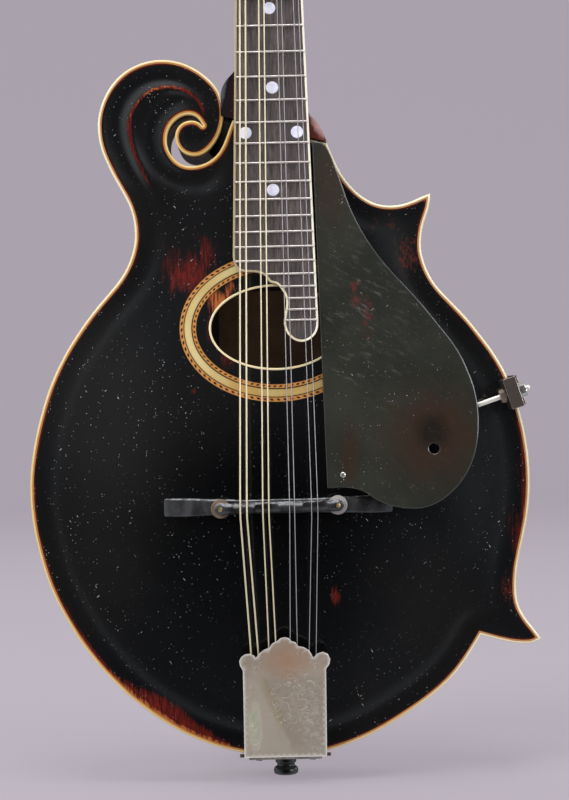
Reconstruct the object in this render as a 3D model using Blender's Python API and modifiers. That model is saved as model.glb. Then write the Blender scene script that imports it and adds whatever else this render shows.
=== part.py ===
"""A carved mandolin with a scroll, two points, an oval soundhole, an adjustable
bridge, a clamped elevated finger rest and two four-on-a-plate tuner strips.

Local frame: x towards the treble side, y up the neck, z out of the top, with
z = 0 half way through the rim.  The empty "instrument_frame" stands it up, so
in the world +X is the treble side, +Z runs up the neck, and the top faces -Y.
The empty "headstock_frame" lies in the tipped-back face of the headstock.
All design numbers are millimetres; MM turns them into metres."""

import math

import bmesh
import bpy
import numpy as np
from mathutils import Vector

for old in list(bpy.data.objects):
    bpy.data.objects.remove(old, do_unlink=True)

# ----------------------------------------------------------- driving dimensions
MM = 0.001
EDGE = 21.5              # half the rim depth, to the outer face of each plate's edge
TOP_THICK = 4.0
BACK_THICK = 3.6
BIND_WIDTH = 1.8
BIND_HEIGHT = 4.1
RIB_THICK = 2.0
GAP = 0.3                # clearance between neighbouring pieces
PIN_FACE = 4.0           # the end pin's outer face lies this far below local y = 0
TAIL_Y = 8.2             # lowest point of the body outline
NUT_Y = 487.3            # nut end of the playing surface
NUT_TOP = 15.1
NUT_EDGE = (490.6, 14.4)  # y, z where the nut's top starts to fall away
SADDLE_Y = 136.0
SADDLE_TOP = 48.6
FRET_SCALE = 352.4
FRET_TILT = math.radians(5.5)
FRET_COUNT = 24
BOARD_DEPTH = 4.9
HEAD_ORIGIN = (0.0, 490.0, 8.0)
HEAD_ANGLE = math.radians(17.1)
HEAD_THICK = 13.0
POST_X = 17.5
POST_Y = (32.0, 55.5, 79.0, 102.5)   # up the headstock frame
POST_RADIUS = 3.0
HOLE_CENTRE = (0.0, 221.2)
HOLE_RADII = (33.2, 21.2)
SIDES = {-1: "bass", 1: "treble"}
Z_TO_X = (0, math.pi / 2, 0)         # rotation that turns a part's z to +x
Z_TO_TAIL = (math.pi / 2, 0, 0)      # rotation that turns a part's z to -y


def board_z(y):
    """Playing surface of the fretboard."""
    return 29.2 + 0.0890 * (312.0 - y)


def tail_plate_z(y):
    """Under side of the sloping tailpiece plate."""
    return EDGE + 1.7 + 0.17 * (y - 8)


# ------------------------------------------------------------------ curve maths
def natural_cubic(stations, values):
    """Natural cubic through the stations, held level beyond its ends."""
    stations, values = np.array(stations, float), np.array(values, float)
    spans = np.diff(stations)
    slopes = np.diff(values) / spans
    count = len(stations)
    matrix = np.zeros((count, count))
    target = np.zeros(count)
    matrix[0, 0] = matrix[-1, -1] = 1.0
    for i in range(1, count - 1):
        matrix[i, i - 1 : i + 2] = spans[i - 1], 2 * (spans[i - 1] + spans[i]), spans[i]
        target[i] = 6 * (slopes[i] - slopes[i - 1])
    bend = np.linalg.solve(matrix, target)

    def value(x):
        x = np.clip(np.asarray(x, float), stations[0], stations[-1])
        i = np.clip(np.searchsorted(stations, x) - 1, 0, count - 2)
        span = spans[i]
        before, after = x - stations[i], stations[i + 1] - x
        return (
            bend[i] * after**3 / (6 * span)
            + bend[i + 1] * before**3 / (6 * span)
            + (values[i] / span - bend[i] * span / 6) * after
            + (values[i + 1] / span - bend[i + 1] * span / 6) * before
        )

    return value


def faired(stations, step=1.0, soften=2.5):
    """A smooth run through template stations, both ends held."""
    points = np.array(stations, float)
    steps = np.linalg.norm(np.diff(points, axis=0), axis=1)
    lengths = np.concatenate([[0], np.cumsum(steps)])
    along = np.linspace(0, lengths[-1], int(lengths[-1] / step) + 1)
    run = np.stack([natural_cubic(lengths, points[:, i])(along) for i in (0, 1)], axis=1)
    reach = int(3 * soften / step)
    weights = np.exp(-0.5 * (np.arange(-reach, reach + 1) * step / soften) ** 2)
    weights /= weights.sum()
    head = 2 * run[0] - run[reach:0:-1]
    tail = 2 * run[-1] - run[-2 : -reach - 2 : -1]
    padded = np.concatenate([head, run, tail])
    run = np.stack([np.convolve(padded[:, i], weights, "valid") for i in (0, 1)], axis=1)
    run[0], run[-1] = points[0], points[-1]
    return run


def thinned(points, tolerance):
    """Fewest of the points that stay within tolerance of the run (Douglas-Peucker)."""
    points = np.asarray(points, float)
    keep = {0, len(points) - 1}
    todo = [(0, len(points) - 1)]
    while todo:
        start, end = todo.pop()
        if end - start < 2:
            continue
        chord = points[end] - points[start]
        normal = np.array([-chord[1], chord[0]]) / np.linalg.norm(chord)
        offsets = np.abs((points[start + 1 : end] - points[start]) @ normal)
        i = int(offsets.argmax())
        if offsets[i] > tolerance:
            middle = start + 1 + i
            keep.add(middle)
            todo += [(start, middle), (middle, end)]
    return points[sorted(keep)]


def distance_to(points, loop):
    """Distance from each point to a closed loop."""
    best = np.full(len(points), 1e9)
    for start, end in zip(loop, np.roll(loop, -1, axis=0)):
        edge = end - start
        along = np.clip(((points - start) @ edge) / (edge @ edge), 0, 1)
        nearest = start + along[:, None] * edge
        best = np.minimum(best, np.linalg.norm(points - nearest, axis=1))
    return best


def inset(loop, distance):
    """The closed loop moved inwards with mitred corners, dropping points that crowd it."""
    points = np.asarray(loop, float)
    following = np.roll(points, -1, axis=0)
    if np.sum(points[:, 0] * following[:, 1] - following[:, 0] * points[:, 1]) < 0:
        points = points[::-1]
    edges = np.roll(points, -1, axis=0) - points
    edges /= np.linalg.norm(edges, axis=1)[:, None]
    normals = np.stack([-edges[:, 1], edges[:, 0]], axis=1)
    mitres = normals + np.roll(normals, 1, axis=0)
    mitres /= np.maximum(np.sum(mitres * normals, axis=1), 0.18)[:, None]
    moved = points + distance * mitres
    return moved[distance_to(moved, points) > distance - 0.02]


def ellipse(radii, grow=0.0, count=28):
    """A loop round the soundhole's centre."""
    angles = [2 * math.pi * i / count for i in range(count)]
    return [(HOLE_CENTRE[0] + (radii[0] + grow) * math.cos(angle),
             HOLE_CENTRE[1] + (radii[1] + grow) * math.sin(angle)) for angle in angles]


# ------------------------------------------------------------- template stations
# All are (x, y).  The first five run end to end round the body, clockwise from the
# treble side of the neck joint and seen from the top.
SHOULDER = [
    (27, 312.2), (29, 307.3), (31.4, 301.5), (34, 296.5), (38, 291), (42.5, 286.5), (47.5, 283.1),
    (52.5, 281.1), (58, 280.5), (63, 280.9), (68, 282.3), (72.7, 284.3), (77.8, 286.2)]
TREBLE = [
    (77.8, 286.2), (77.1, 280), (75.3, 274.6), (73.6, 269.3), (72.7, 263.5), (72.6, 258.3),
    (73.4, 254), (74.9, 249.2), (77.2, 244.3), (80.4, 239.5), (84.9, 234.4), (90.1, 228.9),
    (95.8, 222.4), (101, 215.6), (106, 208.7), (110.4, 201.6), (113.8, 194.8), (117, 186.5),
    (119.6, 177.7), (121.4, 170), (122.8, 162), (123.8, 152.7), (124, 143), (123.5, 133.2),
    (122.5, 125.8), (121, 118.2), (119.2, 110.7), (117.6, 103.5), (116.5, 96.7), (116.1, 90),
    (116.5, 83.7), (118.4, 77.9), (121.7, 72.7), (125, 68.5), (128, 64.2)]
LOWER_POINT = [
    (128, 64.2), (125.5, 62.7), (121.5, 61.9), (116.4, 62.2), (109.6, 63.4), (103.6, 65.1),
    (98.2, 66.7)]
# Round the tail, up the bass side and into the scroll.
BOUT = [
    (98.2, 66.7), (90.8, 55.2), (82, 44.7), (70.2, 35), (57.3, 26.6), (47.2, 20.8), (37.2, 16.2),
    (27.2, 12.7), (14, 9.5), (0, 8.2), (-10.2, 8.9), (-20.6, 10.7), (-27.6, 12.3), (-37.6, 15.5),
    (-49.2, 20.6), (-60, 27), (-69.4, 33.8), (-77.6, 40.6), (-85.4, 48.4), (-93, 57.2),
    (-99.8, 66.5), (-106, 76.5), (-111.4, 86.8), (-115.9, 97.8), (-119.2, 109), (-121.6, 119.7),
    (-123.2, 130.4), (-123.8, 140.6), (-123.3, 152.6), (-121.7, 163.4), (-119.1, 174.9),
    (-115.8, 186.2), (-111.9, 196.6), (-107.2, 206.4), (-101, 216.7), (-94.3, 226.2),
    (-86.8, 235.4), (-80.1, 242.9), (-74.8, 250), (-71.4, 257.1), (-69.6, 263.6), (-69.1, 270),
    (-69.8, 277), (-71.9, 284), (-75.4, 290.9), (-78.3, 296.2), (-80.8, 301.3), (-83, 306.3),
    (-84.8, 311.2), (-85.9, 316.2), (-86.4, 321.2), (-86.2, 326.2), (-85.2, 331.2), (-83.4, 336.1),
    (-80.8, 341), (-77, 345.9), (-71.1, 350.7), (-64.8, 353.7), (-59.5, 355), (-52.3, 355.3),
    (-45, 353.9), (-40, 351.9), (-35, 348.8), (-30.4, 344.9), (-27.8, 342), (-25.5, 338.1),
    (-24.3, 333.6), (-23.9, 329), (-24.2, 324.7), (-25.4, 319.8), (-27.6, 315.1), (-30.9, 311),
    (-34.3, 308.4), (-37.6, 307.3), (-41, 307.5), (-44.4, 309), (-46.9, 311.8), (-48.2, 315.1),
    (-48.2, 318.4), (-47, 321.6), (-44.6, 323.9), (-41.6, 325), (-38.6, 325), (-36.1, 324.2),
    (-34.3, 322.3)]
# Back out of the scroll to the bass side of the neck joint.
SLOT = [
    (-34.3, 322.3), (-35.9, 325.5), (-38, 327.4), (-40.6, 328.2), (-43.5, 327.9), (-46.5, 326.6),
    (-49.3, 324.2), (-51.3, 321.2), (-52.4, 317.7), (-52.5, 314.2), (-51.7, 310.6), (-49.9, 307.3),
    (-47.5, 304.6), (-44.5, 302.8), (-40.7, 302.1), (-36.3, 302.6), (-32.3, 304), (-28.8, 306.3),
    (-25.8, 309.8), (-23.4, 314.5), (-21.4, 320), (-19.4, 324.7)]
# Finger rest, closed by its straight edge beside the fretboard.
GUARD = [
    (19.7, 312.7), (23.4, 312.2), (26.1, 310.4), (28.1, 306.9), (30.7, 299.8), (33.3, 292.1),
    (35.9, 283.8), (39.8, 274), (45, 264.2), (51.6, 254.2), (60.8, 243.1), (70.1, 232.5),
    (78, 222.3), (84.6, 213.7), (89.8, 205.4), (93.6, 196.6), (96.1, 188.9), (97.5, 180.6),
    (97.6, 169.9), (95.9, 159), (92.2, 149.6), (86.5, 141.6), (79.7, 135.7), (72.8, 132.3),
    (66.2, 131.2), (59, 131.8), (51.2, 133.7), (45.8, 136.6), (41, 139.9), (35, 141.8),
    (28.2, 142.2), (23.1, 141.9)]
# Shaped tail end of the fretboard, treble side to bass side.
BOARD_END = [
    (20.6, 223.9), (19.9, 218.7), (16.8, 215), (12.8, 213.5), (8.1, 214.9), (5, 218.4), (3.9, 222),
    (4.7, 229), (5.1, 235), (2.5, 240.3), (0, 242.5), (-2.6, 243), (-4, 245.2), (-5.8, 246.9),
    (-7.6, 247.7), (-12.6, 248.3), (-16.2, 248.7), (-18.6, 250), (-20, 252.7), (-20.5, 255.8)]
# Lobed neck end of the tailpiece cover, treble side to bass side.
CLOUD = [
    (20.7, 51.2), (20.7, 53.6), (22.3, 55.9), (22.9, 58.4), (21.7, 61.1), (19.3, 62.2),
    (16.2, 61.2), (14.7, 59.3), (12.6, 63.1), (10, 64.7), (7.4, 65.3), (5.9, 67.3), (4.3, 67.7),
    (2.8, 69.3), (1, 69.9), (-1.4, 69.3), (-2.7, 68.1), (-4.3, 67.4), (-5.6, 66.5), (-6.7, 64.8),
    (-9.4, 63.8), (-11.4, 62.3), (-13.5, 59.8), (-14.4, 61.1), (-16.4, 62), (-18.8, 61.7),
    (-20.6, 60.4), (-21.6, 58.4), (-21.3, 56.3), (-20, 53.7), (-19.9, 51.5)]
# The smooth main body, which the linings follow from treble waist to bass waist.
MAIN_BODY = [
    (69, 264), (71.5, 256), (76, 246), (85, 233.6), (100.6, 215.2), (113.4, 194.6), (119.2, 177.5),
    (123.4, 152.6), (123.5, 133.2), (118.6, 112), (113.5, 96), (106.5, 80.5), (97.5, 66),
    (81.8, 45), (57.2, 27), (27.2, 13.1), (0, 8.6), (-20.6, 11.1), (-49.2, 20.9), (-77.5, 41),
    (-99.6, 66.7), (-115.7, 98), (-122.9, 130.5), (-123, 152.6), (-118.8, 174.9), (-106.9, 206.4),
    (-86.6, 235.3), (-74.6, 249.6), (-69, 264)]
# Treble half of the headstock in its own frame, from below the nut to the tip.
HEAD_HALF = [
    (14.2, -6), (14.4, 4), (16.5, 12), (23, 20), (29, 27), (31, 36), (30.2, 50), (28.6, 70),
    (28.2, 90), (29.4, 106), (31.5, 117), (31.8, 126), (28.5, 133), (22, 136.5), (15, 139),
    (8.5, 144.5), (0, 148.5)]

outline = np.concatenate(
    [thinned(faired(run), 0.5)[:-1] for run in (SHOULDER, TREBLE, LOWER_POINT, BOUT, SLOT)]
    + [[SLOT[-1]]]
)


def heel_line(x):
    """y of the straight neck joint between the two ends of the body outline."""
    (bass_x, bass_y), (treble_x, treble_y) = SLOT[-1], SHOULDER[0]
    return bass_y - (x - bass_x) * (bass_y - treble_y) / (treble_x - bass_x)


# ----------------------------------------------------------------------- arching
# A long arch times a cross arch, which dies out at the rim of the main body.
# First row of each table: y.  Second row: half width, or height above the edge.
WIDTH_Y = [8.2, 10, 13, 20, 35, 55, 75, 98, 120, 140, 160,
           180, 200, 215, 230, 245, 260, 275, 290, 305, 330]
WIDTH_X = [0, 16, 28, 47, 70, 91, 104.5, 115.5, 121.8, 123.9, 122.6,
           118.7, 110.5, 101, 89, 77, 69, 62, 50, 37, 22]
half_width = natural_cubic(np.sqrt(np.array(WIDTH_Y) - TAIL_Y), WIDTH_X)
TOP_ARCH = natural_cubic(
    [8, 18, 30, 45, 65, 85, 105, 125, 145, 162, 180, 200, 221, 240, 260, 280, 300, 318, 360],
    [0, .35, 1.8, 4.4, 7.8, 10.6, 12.6, 13.7, 14, 13.8, 13.1, 11.9, 10.2, 8.5, 6.6, 4.7, 2.9, 1.5, 0])
BACK_ARCH = natural_cubic(
    [8, 18, 30, 45, 65, 85, 105, 125, 145, 165, 190, 215, 240, 260, 280, 300, 318, 360],
    [0, .3, 1.5, 3.7, 6.7, 9.2, 11.0, 12.0, 12.3, 12.1, 11.0, 9.1, 6.9, 5.1, 3.3, 1.6, .5, 0])


def plate_z(x, y, long_arch=TOP_ARCH):
    """Distance of a plate's outer face from z = 0."""
    width = np.maximum(half_width(np.sqrt(np.maximum(y - TAIL_Y, 0))), 1.0)
    across = np.clip(np.abs(x) / width, 0, 1)
    return EDGE + float(np.maximum(long_arch(y), 0) * np.cos(np.pi / 2 * across) ** 1.5)


# --------------------------------------------------------- collections and frames
def collection(name, hidden=False):
    made = bpy.data.collections.new(name)
    bpy.context.scene.collection.children.link(made)
    made.hide_render = hidden
    return made


PARTS = collection("mandolin")
CUTTERS = collection("mandolin_cutters", True)


def empty(name, location, rotation=(0, 0, 0), parent=None):
    made = bpy.data.objects.new(name, None)
    PARTS.objects.link(made)
    made.location = [c * MM for c in location]
    made.rotation_euler = rotation
    made.parent = parent
    return made


FRAME = empty("instrument_frame", (0, 0, PIN_FACE), (math.pi / 2, 0, 0))
HEAD = empty("headstock_frame", HEAD_ORIGIN, (-HEAD_ANGLE, 0, 0), FRAME)

# --------------------------------------------------------------------- materials
# name: base colour, roughness, metallic
FINISHES = {
    "black_lacquer": ((0.012, 0.012, 0.014), 0.18, 0.0),
    "red_brown_lacquer": ((0.10, 0.025, 0.014), 0.25, 0.0),
    "ivory_celluloid": ((0.78, 0.68, 0.46), 0.35, 0.0),
    "rope_marquetry": ((0.62, 0.42, 0.16), 0.35, 0.0),
    "spruce": ((0.62, 0.44, 0.24), 0.6, 0.0),
    "maple_block": ((0.55, 0.38, 0.2), 0.6, 0.0),
    "ebony": ((0.02, 0.018, 0.016), 0.45, 0.0),
    "bone": ((0.8, 0.76, 0.64), 0.4, 0.0),
    "tortoise_celluloid": ((0.03, 0.026, 0.018), 0.2, 0.0),
    "paper": ((0.62, 0.53, 0.38), 0.9, 0.0),
    "nickel": ((0.55, 0.52, 0.48), 0.3, 1.0),
    "brass": ((0.72, 0.5, 0.2), 0.3, 1.0),
    "bronze_winding": ((0.45, 0.3, 0.16), 0.35, 1.0),
    "plain_steel": ((0.7, 0.7, 0.7), 0.25, 1.0),
    "button_celluloid": ((0.85, 0.8, 0.66), 0.35, 0.0),
}


def make_material(name, colour, roughness, metallic):
    made = bpy.data.materials.new(name)
    made.use_nodes = True
    inputs = made.node_tree.nodes["Principled BSDF"].inputs
    inputs["Base Color"].default_value = (*colour, 1)
    inputs["Roughness"].default_value = roughness
    inputs["Metallic"].default_value = metallic
    return made


MATERIALS = {name: make_material(name, *finish) for name, finish in FINISHES.items()}


# --------------------------------------------------------------- solid builders
# A builder given no material makes a hidden helper for a boolean.
def place(name, data, material=None, parent=FRAME, location=(0, 0, 0), rotation=(0, 0, 0)):
    made = bpy.data.objects.new(name, data)
    made.location = [c * MM for c in location]
    made.rotation_euler = rotation
    made.parent = parent
    if material:
        PARTS.objects.link(made)
        data.materials.append(MATERIALS[material])
    else:
        CUTTERS.objects.link(made)
        made.hide_render = True
        made.display_type = "WIRE"
    return made


def mesh_from(name, shape, mesh=None):
    """Writes a bmesh to the given mesh, or to a new one, and frees it."""
    mesh = mesh or bpy.data.meshes.new(name)
    shape.to_mesh(mesh)
    shape.free()
    mesh.name = name
    return mesh


def flat_solid(name, loops, z_low, z_high, material=None, lift=None, parent=FRAME):
    """A flat outline, with any holes in it, as a filled 2D curve given its thickness.
    lift(y) then tips both faces alike."""
    curve = bpy.data.curves.new(name, "CURVE")
    curve.dimensions = "2D"
    curve.fill_mode = "BOTH"
    curve.extrude = (z_high - z_low) / 2 * MM
    for loop in loops:
        spline = curve.splines.new("POLY")
        spline.points.add(len(loop) - 1)
        for point, (x, y) in zip(spline.points, loop):
            point.co = (x * MM, y * MM, 0, 1)
        spline.use_cyclic_u = True
    source = place(name + "_curve", curve)
    bpy.context.view_layer.update()
    evaluated = source.evaluated_get(bpy.context.evaluated_depsgraph_get())
    mesh = bpy.data.meshes.new_from_object(evaluated)
    bpy.data.objects.remove(source)
    shape = bmesh.new()
    shape.from_mesh(mesh)
    bmesh.ops.remove_doubles(shape, verts=shape.verts, dist=1e-6)
    for vert in shape.verts:
        vert.co.z += (z_low + z_high) / 2 * MM
        if lift:
            vert.co.z += lift(vert.co.y / MM) * MM
    bmesh.ops.recalc_face_normals(shape, faces=shape.faces)
    return place(name, mesh_from(name, shape, mesh), material, parent)


def side_solid(name, profile, low, high, along, material=None, parent=FRAME):
    """An outline drawn from the side and given its thickness along x or y.
    along 'x': profile is (y, z); along 'y': profile is (x, z)."""
    shape = bmesh.new()
    if along == "x":
        corners = [(low * MM, y * MM, z * MM) for y, z in profile]
        step = Vector(((high - low) * MM, 0, 0))
    else:
        corners = [(x * MM, low * MM, z * MM) for x, z in profile]
        step = Vector((0, (high - low) * MM, 0))
    face = shape.faces.new([shape.verts.new(corner) for corner in corners])
    extruded = bmesh.ops.extrude_face_region(shape, geom=[face])["geom"]
    moved = [part for part in extruded if isinstance(part, bmesh.types.BMVert)]
    bmesh.ops.translate(shape, vec=step, verts=moved)
    bmesh.ops.recalc_face_normals(shape, faces=shape.faces)
    return place(name, mesh_from(name, shape), material, parent)


def rod(name, radius, length, segments, material=None, **placing):
    """A cylinder centred on its origin, along local z."""
    shape = bmesh.new()
    bmesh.ops.create_cone(shape, cap_ends=True, segments=segments, radius1=radius * MM,
                          radius2=radius * MM, depth=length * MM)
    return place(name, mesh_from(name, shape), material, **placing)


def block(name, low, high, material=None, parent=FRAME):
    """A box between two opposite corners."""
    shape = bmesh.new()
    bmesh.ops.create_cube(shape, size=1)
    for vert in shape.verts:
        vert.co = Vector([(start + end) / 2 * MM + c * (end - start) * MM
                          for c, start, end in zip(vert.co, low, high)])
    return place(name, mesh_from(name, shape), material, parent)


def turned(name, profile, steps, material, ring=False, **placing):
    """A profile of (radius, height), outer side from top to bottom, spun about local z."""
    mesh = bpy.data.meshes.new(name)
    count = len(profile)
    edges = [(i, i + 1) for i in range(count - 1)] + ([(count - 1, 0)] if ring else [])
    mesh.from_pydata([(radius * MM, 0, z * MM) for radius, z in profile], edges, [])
    made = place(name, mesh, material, **placing)
    spin = made.modifiers.new("spin", "SCREW")
    spin.axis = "Z"
    spin.steps = spin.render_steps = steps
    spin.use_merge_vertices = True
    spin.merge_threshold = 0.00001
    spin.use_smooth_shade = True
    return made


def skin(shape, rings):
    """Quads between successive rings of equal vertex count."""
    for first, second in zip(rings, rings[1:]):
        for i in range(len(first)):
            j = (i + 1) % len(first)
            shape.faces.new((first[i], first[j], second[j], second[i]))


def loft(name, sections, material, **placing):
    """Skins rings of equal point count and closes both ends."""
    shape = bmesh.new()
    rings = [[shape.verts.new([c * MM for c in point]) for point in ring] for ring in sections]
    skin(shape, rings)
    shape.faces.new(rings[0][::-1])
    shape.faces.new(rings[-1])
    bmesh.ops.recalc_face_normals(shape, faces=shape.faces)
    return place(name, mesh_from(name, shape), material, **placing)


def arched_sheet(name, long_arch, offset, thickness, box, material=None, spacing=20):
    """A grid bent to the arching, offset mm above the outer face, then thickened inwards.
    box is (x low, x high, y low, y high)."""
    x_low, x_high, y_low, y_high = box
    sign = -1 if long_arch is BACK_ARCH else 1
    shape = bmesh.new()
    bmesh.ops.create_grid(shape, x_segments=max(1, round((x_high - x_low) / spacing)),
                          y_segments=max(1, round((y_high - y_low) / spacing)), size=0.5)
    for vert in shape.verts:
        x = (x_low + x_high) / 2 + vert.co.x * (x_high - x_low)
        y = (y_low + y_high) / 2 + vert.co.y * (y_high - y_low)
        vert.co = (x * MM, y * MM, sign * (plate_z(x, y, long_arch) + offset) * MM)
    if sign < 0:
        bmesh.ops.reverse_faces(shape, faces=shape.faces)
    made = place(name, mesh_from(name, shape), material)
    solidify = made.modifiers.new("thickness", "SOLIDIFY")
    solidify.thickness = thickness * MM
    solidify.offset = -1
    solidify.use_even_offset = False
    return made


def tube(name, path, radius, material):
    """A wire along a polyline, capped."""
    curve = bpy.data.curves.new(name, "CURVE")
    curve.dimensions = "3D"
    curve.bevel_depth = radius * MM
    curve.bevel_resolution = 0
    curve.use_fill_caps = True
    spline = curve.splines.new("POLY")
    spline.points.add(len(path) - 1)
    for point, position in zip(spline.points, path):
        point.co = (*[c * MM for c in position], 1)
    return place(name, curve, material)


def boolean(piece, other, how="DIFFERENCE"):
    modifier = piece.modifiers.new(other.name, "BOOLEAN")
    modifier.operation = how
    modifier.object = other
    modifier.solver = "EXACT"
    return piece


# -------------------------------------------------------------------- body plates
BODY_BOX = (-130, 134, 2, 362)
ROSETTE_BOX = (-56, 56, 172, 270)
HOLE_BOX = (-40, 40, 195, 247)
TOP_CUT = (5, 60)                 # z range of cutters through the top
BACK_CUT = (-60, -5)
ROSETTE_OUTER = (47.9, 36.9)
ROSETTE_INNER = (39.3, 27.9)
ROSETTE_FIT = 0.4
HOLE_BIND_WIDTH = 1.6
plate_loop = inset(outline, BIND_WIDTH + GAP)


def arched_ring(name, cutter_name, offset, thickness, box, loops, material=None):
    """The part of an arched sheet that lies between two ellipses."""
    sheet = arched_sheet(name, TOP_ARCH, offset, thickness, box, material)
    return boolean(sheet, flat_solid(cutter_name, loops, *TOP_CUT), "INTERSECT")


def make_top_plate():
    top = arched_sheet("top_plate", TOP_ARCH, 0, TOP_THICK, BODY_BOX, "black_lacquer")
    boolean(top, flat_solid("top_edge_cut", [plate_loop], *TOP_CUT), "INTERSECT")
    boolean(top, flat_solid("soundhole_cut", [ellipse(HOLE_RADII, GAP)], *TOP_CUT))
    channel = [ellipse(ROSETTE_OUTER, ROSETTE_FIT), ellipse(ROSETTE_INNER, -ROSETTE_FIT)]
    boolean(top, arched_ring("rosette_channel_sheet", "rosette_channel_ring", 2.0, 3.5,
                             ROSETTE_BOX, channel))


def make_top_inlays():
    """The rosette in its channel and the soundhole's binding."""
    arched_ring("rosette_inlay", "rosette_ring", 0, 1.1, ROSETTE_BOX,
                [ellipse(ROSETTE_OUTER), ellipse(ROSETTE_INNER)], "rope_marquetry")
    arched_ring("soundhole_binding", "soundhole_ring", 0.1, 3.6, HOLE_BOX,
                [ellipse(HOLE_RADII), ellipse(HOLE_RADII, -HOLE_BIND_WIDTH)], "ivory_celluloid")


def make_back_plate():
    back = arched_sheet("back_plate", BACK_ARCH, 0, BACK_THICK, BODY_BOX, "red_brown_lacquer",
                        spacing=24)
    boolean(back, flat_solid("back_edge_cut", [plate_loop], *BACK_CUT), "INTERSECT")


def make_label():
    """Inside the back, under the soundhole."""
    arched_sheet("paper_label", BACK_ARCH, -(BACK_THICK + 0.75), 0.3, (-30, 30, 200, 242), "paper")


make_top_plate()
make_top_inlays()
make_back_plate()
make_label()

# ------------------------------------------------- ribs, bindings, blocks, linings
CORE_HALF = 16.7          # half depth left to the blocks between the plates
BLOCK_HALF = 20           # half depth of the blocks before trimming
TENON_END_Y = 304
TENON_HALF = 9.5          # half width at the buried end
TENON_LOW = -11
MORTISE_FIT = 0.35
PIN_SOCKET_RADIUS = 3.75
NECK_BLOCK = [(-95, 267.5), (-45, 267.5), (-27, 286), (27, 286), (40, 272), (47, 272),
              (47, 362), (-95, 362)]
UPPER_BLOCK = [(48, 266.5), (82, 266.5), (82, 292), (48, 292)]
LOWER_BLOCK = [(101.5, 58), (132, 58), (132, 97), (116, 97), (110.5, 84)]
TAIL_BLOCK = [(5, -9.8), (21.5, -9.8), (21.5, -15.8), (32, -15.8),    # (y, z)
              (32, 15.8), (21.5, 15.8), (21.5, 9.8), (5, 9.8)]


def make_mortise():
    """Wide at its buried end, narrow at the shoulder."""
    end_y, half = TENON_END_Y - MORTISE_FIT, TENON_HALF + MORTISE_FIT
    shoulder = 7 + MORTISE_FIT
    loop = [(-shoulder, 330), (-half, end_y), (half, end_y), (shoulder, 330)]
    return flat_solid("mortise_cut", [loop], TENON_LOW - MORTISE_FIT, 40)


def make_ribs(mortise, pin_socket):
    half = EDGE - BIND_HEIGHT - GAP
    loops = [outline, inset(outline, RIB_THICK)]
    ribs = flat_solid("ribs", loops, -half, half, "red_brown_lacquer")
    boolean(ribs, mortise)
    boolean(ribs, pin_socket)


def make_bindings():
    loops = [outline, inset(outline, BIND_WIDTH)]
    flat_solid("top_binding", loops, EDGE - BIND_HEIGHT, EDGE, "ivory_celluloid")
    flat_solid("back_binding", loops, -EDGE, -(EDGE - BIND_HEIGHT), "ivory_celluloid")


def make_blocks(mortise, pin_socket):
    """Blocks that the ribs are glued round, trimmed to the inside of the rim."""
    core = flat_solid("block_core", [inset(outline, RIB_THICK + 0.5)], -CORE_HALF, CORE_HALF)
    blocks = [flat_solid(name, [loop], -BLOCK_HALF, BLOCK_HALF, "maple_block")
              for name, loop in (("neck_block", NECK_BLOCK), ("upper_point_block", UPPER_BLOCK),
                                 ("lower_point_block", LOWER_BLOCK))]
    blocks.append(side_solid("tail_block", TAIL_BLOCK, -22, 22, "x", "maple_block"))
    for piece in blocks:
        boolean(piece, core, "INTERSECT")
    boolean(blocks[0], mortise)
    boolean(blocks[-1], pin_socket)


def make_linings():
    """Each lining is one strip, from 3.2 to 7.6 mm inside the main body's line."""
    points = thinned(faired(MAIN_BODY, 2.0, 3.0), 0.9)
    edges = np.gradient(points, axis=0)
    edges /= np.linalg.norm(edges, axis=1)[:, None]
    inward = np.stack([edges[:, 1], -edges[:, 0]], axis=1)
    strip = np.concatenate([points + 3.2 * inward, (points + 7.6 * inward)[::-1]])
    flat_solid("top_lining", [strip], 10.4, 16.4, "spruce")
    flat_solid("back_lining", [strip], -16.6, -10.6, "spruce")


def make_brace():
    """Across the inside of the top, deepest in the middle."""
    middle_y, half = 186, 4

    def under_top(x):
        return plate_z(x, middle_y) - TOP_THICK - 0.75

    upper = [(x, under_top(x)) for x in range(-84, 85, 12)]
    depths = [(84, 2.5), (60, 8), (0, 11), (-60, 8), (-84, 2.5)]    # (x, depth)
    lower = [(x, under_top(x) - depth) for x, depth in depths]
    side_solid("transverse_brace", upper + lower, middle_y - half, middle_y + half, "y", "spruce")


mortise_cut = make_mortise()
pin_cut = rod("pin_socket", PIN_SOCKET_RADIUS, 34, 16, location=(0, 19, 0), rotation=Z_TO_TAIL)
make_ribs(mortise_cut, pin_cut)
make_bindings()
make_blocks(mortise_cut, pin_cut)
make_linings()
make_brace()

# ------------------------------------------------------------- neck and headstock
NECK_DROP = 5.3           # flat top of the neck below the playing surface
JOINT_Y = heel_line(0) + 0.4
# Half a cross-section: fraction of the depth, fraction of the half width.
NECK_ROUND = [(0.0, 1.0), (0.10, 0.985), (0.30, 0.92), (0.52, 0.80), (0.74, 0.62),
              (0.91, 0.40), (1.0, 0.16)]
# y, half width, depth, slant (1 follows the heel line), foot (keel left on the heel)
NECK_STATIONS = [
    (JOINT_Y, 19.6, 44.8, 1.0, 0.35), (JOINT_Y + 4, 18.9, 44.2, 1.0, 0.30),
    (JOINT_Y + 9, 18.4, 41.5, 0.6, 0.2), (338, 18.0, 34.0, 0.2, 0.1), (346, 17.8, 27.5, 0, 0),
    (356, 17.5, 23.5, 0, 0), (372, 17.1, 21.5, 0, 0), (410, 16.0, 20.2, 0, 0),
    (450, 14.9, 19.2, 0, 0), (478, 14.1, 18.6, 0, 0), (489, 13.9, 18.6, 0, 0)]
TENON = [(-7.1, 327), (-TENON_HALF, TENON_END_Y), (TENON_HALF, TENON_END_Y), (7.1, 327)]
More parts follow.
